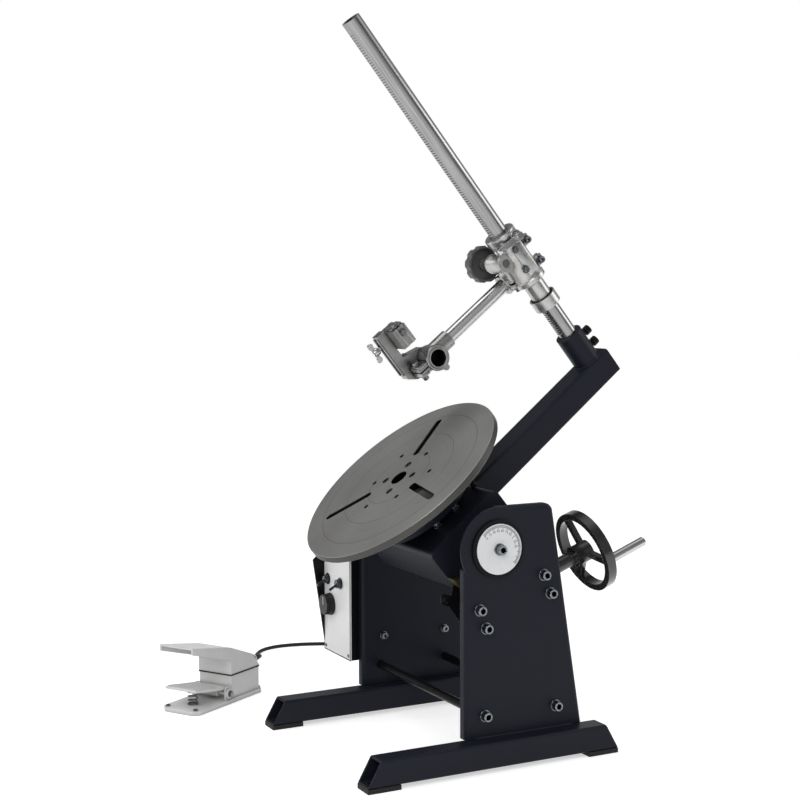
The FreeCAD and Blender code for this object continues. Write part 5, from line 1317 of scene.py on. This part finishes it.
class POSITIONER_OT_foot_switch(bpy.types.Operator):
    """Adds the spring, hinge plates, serrations, screws and nut of the foot switch"""

    bl_idname = "positioner.foot_switch"
    bl_label = "Foot switch"

    # Millimetres of the foot switch's own frame: screws as (x, y) on the base, hinge, ribs and gland.
    BASE = 6.3
    BASE_SCREWS = ((-26, -72), (26, -72), (-26, 82), (26, 82))
    CASE_BOLTS = ((-25, 70), (25, 70), (-25, 12), (25, 12))
    HINGE = 16.25
    HINGE_PLATE = ((0, 0), (7.4, 0), (8, 0.5), (8, 2), (7.4, 2.6), (0, 2.6))
    TREAD_SLOPE = 12 / 78
    TREAD_FRONT = -74
    GLAND = (16, 79, 50)

    # Spring: place along y, bottom and top, radius of its turns and of its wire.
    SPRING = (-46, 6.6, 27.0)
    TURN = 7
    WIRE = 1.1
    TURNS = 4.5
    FLAT_TURNS = 0.7
    STEPS = 72

    def execute(self, context):
        self.spring()
        mesh = new_mesh()
        for side in (-1, 1):
            lathe(mesh, self.HINGE_PLATE, seated(side * 32.8, 0, self.HINGE, (side, 0, 0), PEDAL), 32)
        finish_piece("hinge_plates", mesh, "Foot switch paint", "stand")
        mesh = new_mesh()
        for side in (-1, 1):
            spot = seated(side * 35.4, 0, self.HINGE, (side, 0, 0), PEDAL)
            hex_bolt(mesh, spot, radius=4, height=3, washer=5)
        for x, y in self.BASE_SCREWS:
            spot = PEDAL @ shift(x, y, self.BASE)
            cap_screw(mesh, spot, radius=3.6, height=2.6, washer=0, sink=1.6)
        for x, y in self.CASE_BOLTS:
            hex_bolt(mesh, PEDAL @ shift(x, y, self.BASE), radius=3, height=2)
        finish_piece("foot_switch_screws", mesh, "Zinc", "stand")
        mesh = new_mesh()
        for side in (-27.3, 27.3):
            self.ribs(mesh, (3, 2.4, 2.2), side, (-68, 37.2), 5.2, 13, 0.5)
        self.ribs(mesh, (44, 1.6, 1.0), 0, (-66, 37), 5.6, 11, 0.3)
        finish_piece("tread_ribs", mesh, "Foot switch paint", "tread")
        mesh = new_mesh()
        hex_bolt(mesh, seated(*self.GLAND, (0, 1, 0), PEDAL), radius=7.6, height=4.5)
        finish_piece("gland_nut", mesh, "Zinc", "stand")
        return {"FINISHED"}

    def ribs(self, mesh, size, x, start, pitch, count, edge):
        """A row of ribs up the sloping tread from a place of (y, z)."""
        tilt = Matrix.Rotation(-math.atan(self.TREAD_SLOPE), 4, "X")
        for step in range(count):
            y = start[0] + pitch * step
            z = start[1] - (y - self.TREAD_FRONT) * self.TREAD_SLOPE
            block(mesh, size, PEDAL @ shift(x, y, z) @ tilt, edge)

    def spring(self):
        """A wound wire between the base and the tread, flattened as the tread goes down."""
        y, low, high = self.SPRING
        points = []
        for step in range(self.STEPS + 1):
            wound = self.TURNS * step / self.STEPS
            climb = min(1.0, max(0.0, (wound - self.FLAT_TURNS) / (self.TURNS - 2 * self.FLAT_TURNS)))
            height = low + self.WIRE + climb * (high - low - 2 * self.WIRE)
            angle = math.tau * wound
            spot = (self.TURN * math.cos(angle), y + self.TURN * math.sin(angle), height)
            points.append(PEDAL @ (Vector(spot) * MM))
        wound_wire = wire("spring", points, self.WIRE * MM, facets=3, steps=4)
        bpy.context.view_layer.update()
        shape = bpy.data.meshes.new_from_object(wound_wire)
        bpy.data.objects.remove(wound_wire)
        mesh = new_mesh()
        mesh.from_mesh(shape)
        bpy.data.meshes.remove(shape)
        piece = finish_piece("tread_spring", mesh, "Zinc", "stand", smooth=60)
        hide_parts("pedal_spring")
        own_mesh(piece)


class POSITIONER_OT_panel_trim(bpy.types.Operator):
    """Adds the dark edge, nuts, knob line and side screws of the control box"""

    bl_idname = "positioner.panel_trim"
    bl_label = "Control box trim"

    # Millimetres: the panel's face, the switches' (x, z), the knob's (x, z) and turned outlines.
    FRONT = -50.0
    SWITCHES = ((-252, 187), (-207.5, 187))
    KNOB = (-242, 150)
    WASHER = closed((6.03, 0), (8.4, 0), (8.7, 0.3), (8.7, 0.9), (6.03, 0.9))
    NUT = closed(
        (6.03, 0.9), (6.9, 0.9), (6.9, 3.4), (6.5, 3.8), (6.5, 7.3), (4.6, 7.3), (4.6, 7.02), (6.03, 7.02),
    )
    SCREW = ((0, 0), (2.6, 0), (2.5, 0.9), (1.6, 1.4), (0, 1.5))
    SKIRT = ((0, 0.3), (16.6, 0.3), (17, 0.7), (16.4, 4), (14.9, 6), (0, 6))
    SCREW_INSET = 7
    EDGE_INSET = 1.1
    RIBS = 24

    def execute(self, context):
        low, high = (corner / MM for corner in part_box("control_panel"))
        middle = (low + high) / 2
        mesh = new_mesh()
        for z in (low.z + self.EDGE_INSET, high.z - self.EDGE_INSET):
            block(mesh, (high.x - low.x - 1, 0.5, 1.4), shift(middle.x, self.FRONT, z))
        for x in (low.x + self.EDGE_INSET, high.x - self.EDGE_INSET):
            block(mesh, (1.4, 0.5, high.z - low.z - 1), shift(x, self.FRONT, middle.z))
        finish_piece("panel_edge", mesh, "Black box paint", "stand")
        mesh = new_mesh()
        for x, z in self.SWITCHES:
            spot = seated(x, self.FRONT, z, FORWARD)
            lathe(mesh, self.WASHER, spot, 40)
            lathe(mesh, self.NUT, spot, 12)
        finish_piece("toggle_nuts", mesh, "Dark toggle steel", "stand")
        mesh = new_mesh()
        for x in (low.x + self.SCREW_INSET, high.x - self.SCREW_INSET):
            for z in (low.z + self.SCREW_INSET, high.z - self.SCREW_INSET):
                lathe(mesh, self.SCREW, seated(x, self.FRONT, z, FORWARD), 24)
        finish_piece("panel_screws", mesh, "Zinc", "stand")
        self.knob()
        return {"FINISHED"}

    def knob(self):
        x, z = self.KNOB
        mesh = new_mesh()
        lathe(mesh, self.SKIRT, seated(x, self.FRONT, z, FORWARD))
        finish_piece("speed_knob_skirt", mesh, "Black plastic", "speed")
        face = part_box("speed_knob")[0].y / MM
        mesh = new_mesh()
        for step in range(self.RIBS):
            turn = Matrix.Rotation(math.tau * step / self.RIBS, 4, "Z")
            block(mesh, (1.0, 1.8, 9.5), seated(x, face + 5.5, z, FORWARD) @ turn @ shift(15, 0, 0), 0.3)
        finish_piece("speed_knob_ribs", mesh, "Black plastic", "speed")
        mesh = new_mesh()
        block(mesh, (1.2, 0.3, 12), shift(x, face - 0.05, z + 6))
        finish_piece("speed_knob_line", mesh, "Panel paint", "speed")


STEPS = (
    POSITIONER_OT_stage,
    POSITIONER_OT_finishes,
    POSITIONER_OT_cord,
    POSITIONER_OT_stand_screws,
    POSITIONER_OT_dial,
    POSITIONER_OT_head_screws,
    POSITIONER_OT_clamp,
    POSITIONER_OT_torch_holder,
    POSITIONER_OT_welds,
    POSITIONER_OT_foot_switch,
    POSITIONER_OT_panel_trim,
)


class POSITIONER_PT_panel(bpy.types.Panel):
    """Lists the steps that dress the positioner"""

    bl_idname = "POSITIONER_PT_panel"
    bl_label = "Welding Positioner"
    bl_space_type = "VIEW_3D"
    bl_region_type = "UI"
    bl_category = "Positioner"

    def draw(self, context):
        layout = self.layout
        for step in STEPS:
            layout.operator(step.bl_idname)
        for kind in GROUPS:
            group = getattr(context.scene, kind)
            for name in group.bl_rna.properties.keys():
                if name not in ("rna_type", "name"):
                    layout.prop(group, name)


GROUPS = {
    "positioner_finish": PositionerFinish,
    "positioner_cord": PositionerCord,
    "positioner_stage": PositionerStage,
}


def register():
    for name, group in GROUPS.items():
        bpy.utils.register_class(group)
        setattr(bpy.types.Scene, name, PointerProperty(type=group))
    for item in (*STEPS, POSITIONER_PT_panel):
        bpy.utils.register_class(item)


def unregister():
    for item in (POSITIONER_PT_panel, *reversed(STEPS)):
        bpy.utils.unregister_class(item)
    for name, group in GROUPS.items():
        delattr(bpy.types.Scene, name)
        bpy.utils.unregister_class(group)


def main():
    register()
    for step in STEPS:
        area, name = step.bl_idname.split(".")
        getattr(getattr(bpy.ops, area), name)()


if __name__ == "__main__":
    main()
